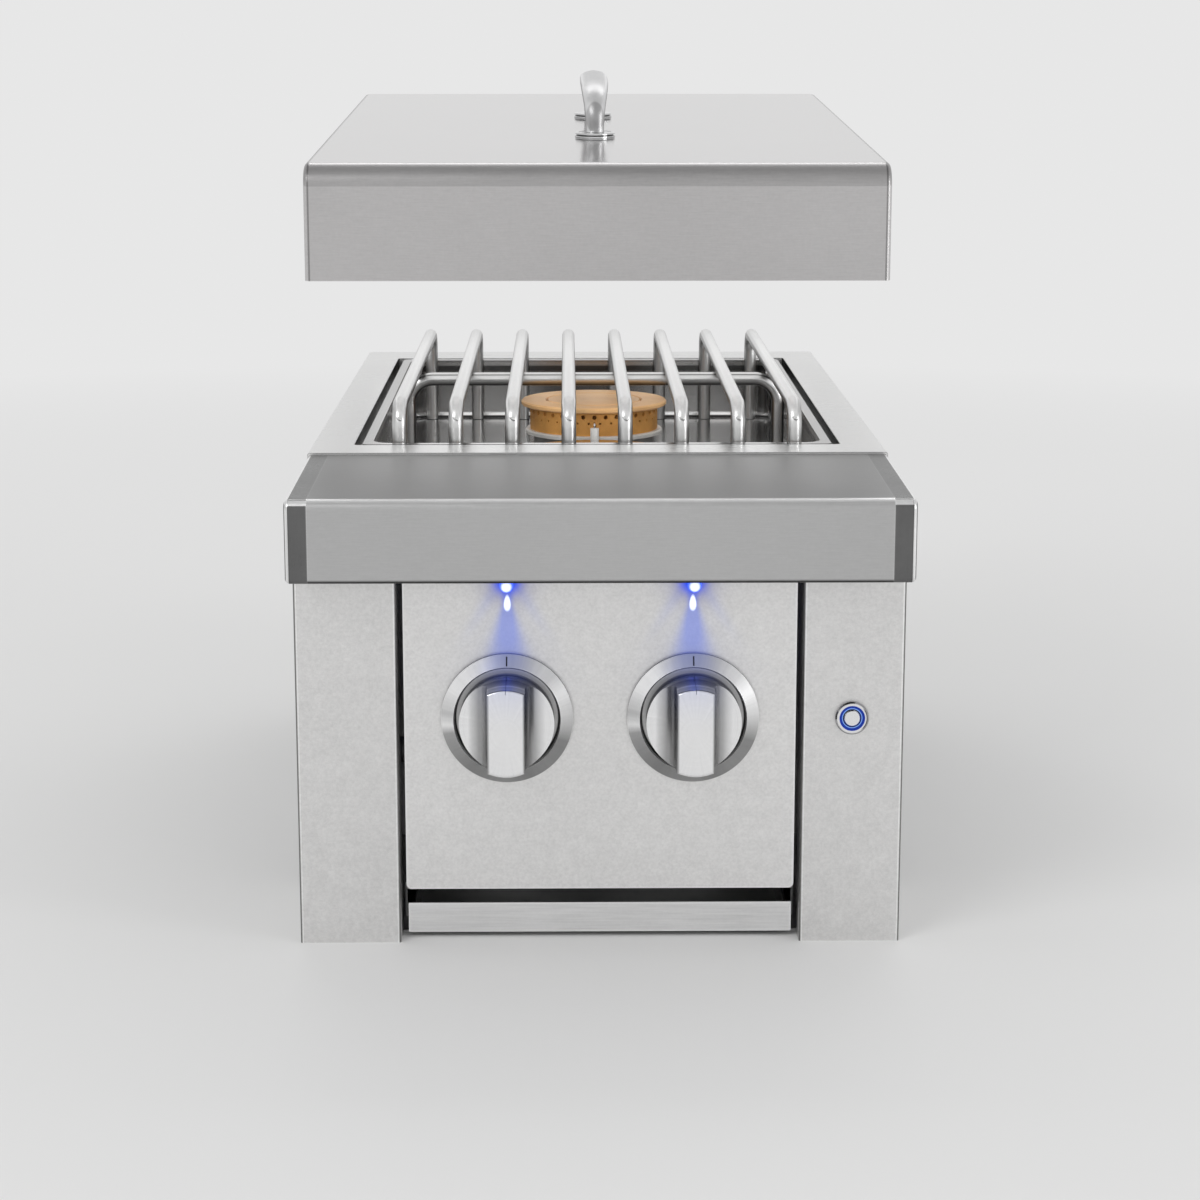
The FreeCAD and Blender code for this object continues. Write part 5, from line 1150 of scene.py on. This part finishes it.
# %% Two turned feet
# The profile is in millimetres: radius and height.
foot_profile = [(0.0, 0.0), (13.3, 0.0), (13.5, 0.12), (13.4, 0.95), (13.1, 1.08), (12.3, 1.1),
                (12.5, 1.75), (13.2, 1.78), (13.45, 1.9), (13.35, 2.6), (13.0, 2.96), (11.0, 3.0),
                (10.6, 2.85), (0.0, 2.85)]
foot_sides = 72
foot_radius = 0.0135
foot_clear = 0.00015
foot_spacing = 0.149
lid_lean = math.radians(3.27)
feet_low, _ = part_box("handle_feet")
foot_front = Vector((0, feet_low.y + foot_radius + foot_clear, feet_low.z + foot_radius * math.sin(lid_lean)))
foot_step = Vector((0, math.cos(lid_lean), math.sin(lid_lean))) * foot_spacing
lean = Matrix.Rotation(lid_lean, 3, "X")
shape = bmesh.new()
for foot in (0, 1):
    rows = []
    for radius, level in foot_profile:
        turns = circle(foot_sides) if radius else [(1.0, 0.0)]
        ring = [lean @ (Vector((radius * x, radius * y, level)) / 1000) for x, y in turns]
        rows.append(row_of(shape, [spot + foot_front + foot_step * foot for spot in ring]))
    wrap(shape, rows)
feet_mesh = mesh_of(shape, "turned_feet")
feet_piece = new_piece("turned_feet", feet_mesh, "foot_steel", "lid", smooth=False)
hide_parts("handle_feet")

# %% [markdown]
# ## Welds and pinch marks on the grate
#
# The eight bars lie on one cross rod and are welded to it, and the bending tool left a
# small bright pinch on the outside of each front bend. Both repeat at the bars' spacing.
# A line of points carries a squashed ball for each, with sizes that differ a little.

# %% Geometry tree for beads along the bars
bar_count = 8
bar_spacing = 0.036
bead_tree, given, result = new_grower("beads_along_bars", {
    "Bars": "Int", "Spacing": "Float", "Start": "Vector", "Size": "Vector", "Tilt": "Vector",
    "Finish": "Material"})
step = put(bead_tree, "ShaderNodeCombineXYZ", {"X": given["Spacing"]})
line = put(bead_tree, "GeometryNodeMeshLine", {
    "Count": given["Bars"], "Start Location": given["Start"], "Offset": step.outputs[0]})
ball = put(bead_tree, "GeometryNodeMeshIcoSphere", {"Radius": 1.0, "Subdivisions": 3})
vary = put(bead_tree, "FunctionNodeRandomValue", {
    "Min": (0.85, 0.85, 0.85), "Max": (1.15, 1.15, 1.15), "Seed": 7}, data_type="FLOAT_VECTOR")
beads = put(bead_tree, "GeometryNodeInstanceOnPoints", {
    "Points": line.outputs[0], "Instance": ball.outputs["Mesh"], "Rotation": given["Tilt"],
    "Scale": vector("MULTIPLY", given["Size"], vary.outputs["Value"])})
connect({"Geometry": finished(beads.outputs[0], given["Finish"])}, result)
print("a line of", bar_count, "beads,", bar_spacing, "m apart")

# %% Beads on the grate
weld_size = (0.003, 0.0021, 0.0017)
weld_tilt = 0.6
weld_off = 0.0032
weld_sunk = 0.0009
pinch_size = (0.0021, 0.0008, 0.001)
pinch_tilt = 0.55
pinch_in = 0.0001
pinch_drop = 0.0122
bar_radius = 0.0047
bars_low, bars_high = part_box("grate_bars")
rod_low, rod_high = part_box("grate_cross_rod")
first_bar = bars_low.x + bar_radius
rod_middle = (rod_low.y + rod_high.y) / 2


def bead_row(name, y, z, size, tilt):
    """A bead on each bar, riding on the grate."""
    row = grown(name, bead_tree, {
        "Bars": bar_count, "Spacing": bar_spacing, "Start": (first_bar, y, z), "Size": size, "Tilt": tilt,
        "Finish": finish["grate_steel"]})
    new_piece(f"grate_{name}", row, "grate_steel", "grate")


for end, way in (("front", -1), ("rear", 1)):
    bead_row(f"welds_{end}", rod_middle + way * weld_off, rod_high.z - weld_sunk, weld_size,
             (way * weld_tilt, 0.0, 0.0))
bead_row("pinches", bars_low.y + pinch_in, bars_high.z - pinch_drop, pinch_size, (0.0, pinch_tilt, 0.0))

# %% [markdown]
# ## The threaded inlet
#
# The gas inlet at the rear is a brass fitting with a hexagon inside the box and a thread
# outside. A thread is a ridge that climbs as it goes round, so the wall of the pipe is
# drawn as a fine grid whose radius depends on both the angle and the length.

# %% Wall of the threaded pipe
thread_radius = 0.0104
thread_pitch = 0.0018
thread_depth = 0.0011
bore_radius = 0.00624
pipe_sides = 48
rows_per_turn = 6


def threaded_pipe(shape, centre, start, end):
    """A pipe along +Y with a real helical thread outside and a plain bore."""
    steps = int((end - start) / thread_pitch * rows_per_turn)
    points = circle(pipe_sides)
    rows = []
    for row in range(steps + 1):
        y = start + (end - start) * row / steps
        fade = min(1.0, (end - y) / thread_pitch, (y - start) / thread_pitch + 0.3)
        ring = []
        for n, (x, z) in enumerate(points):
            phase = ((y - start) / thread_pitch - n / pipe_sides) % 1.0
            cut = abs(phase - 0.5) * 2
            radius = thread_radius - thread_depth * (cut if fade >= 1.0 else max(cut, 1.0 - fade))
            ring.append((centre.x + radius * x, y, centre.z + radius * z))
        rows.append(row_of(shape, ring))
    for y in (end, start):
        ring = [(centre.x + bore_radius * x, y, centre.z + bore_radius * z) for x, z in points]
        rows.append(row_of(shape, ring))
    wrap(shape, rows + [rows[0]])


# %% Inlet with its thread
hexagon_radius = 0.0135
hexagon_soft = 0.0006
wall = 0.0012
inlet_low, inlet_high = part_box("gas_inlet_fitting")
inlet_middle = (inlet_low + inlet_high) / 2
hexagon_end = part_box("box_rear")[1].y - wall
shape = bmesh.new()
threaded_pipe(shape, inlet_middle, hexagon_end, inlet_high.y)
hexagon = [(inlet_middle.x + hexagon_radius * x, inlet_middle.z + hexagon_radius * z) for x, z in circle(6)]
hex_front, hex_back = [row_of(shape, [(x, y, z) for x, z in hexagon]) for y in (inlet_low.y, hexagon_end)]
shape.faces.new(hex_front)
shape.faces.new(list(reversed(hex_back)))
wrap(shape, [hex_back, hex_front])
corners = [shape.edges.get(pair) for pair in zip(hex_front, hex_back)]
corners += outline(shape, hex_front) + outline(shape, hex_back)
bmesh.ops.bevel(shape, geom=corners, offset=hexagon_soft, segments=2, affect="EDGES")
inlet_mesh = mesh_of(shape, "threaded_inlet")
inlet_piece = new_piece("threaded_inlet", inlet_mesh, "valve_brass", "unit", smooth=False)
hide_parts("gas_inlet_fitting")
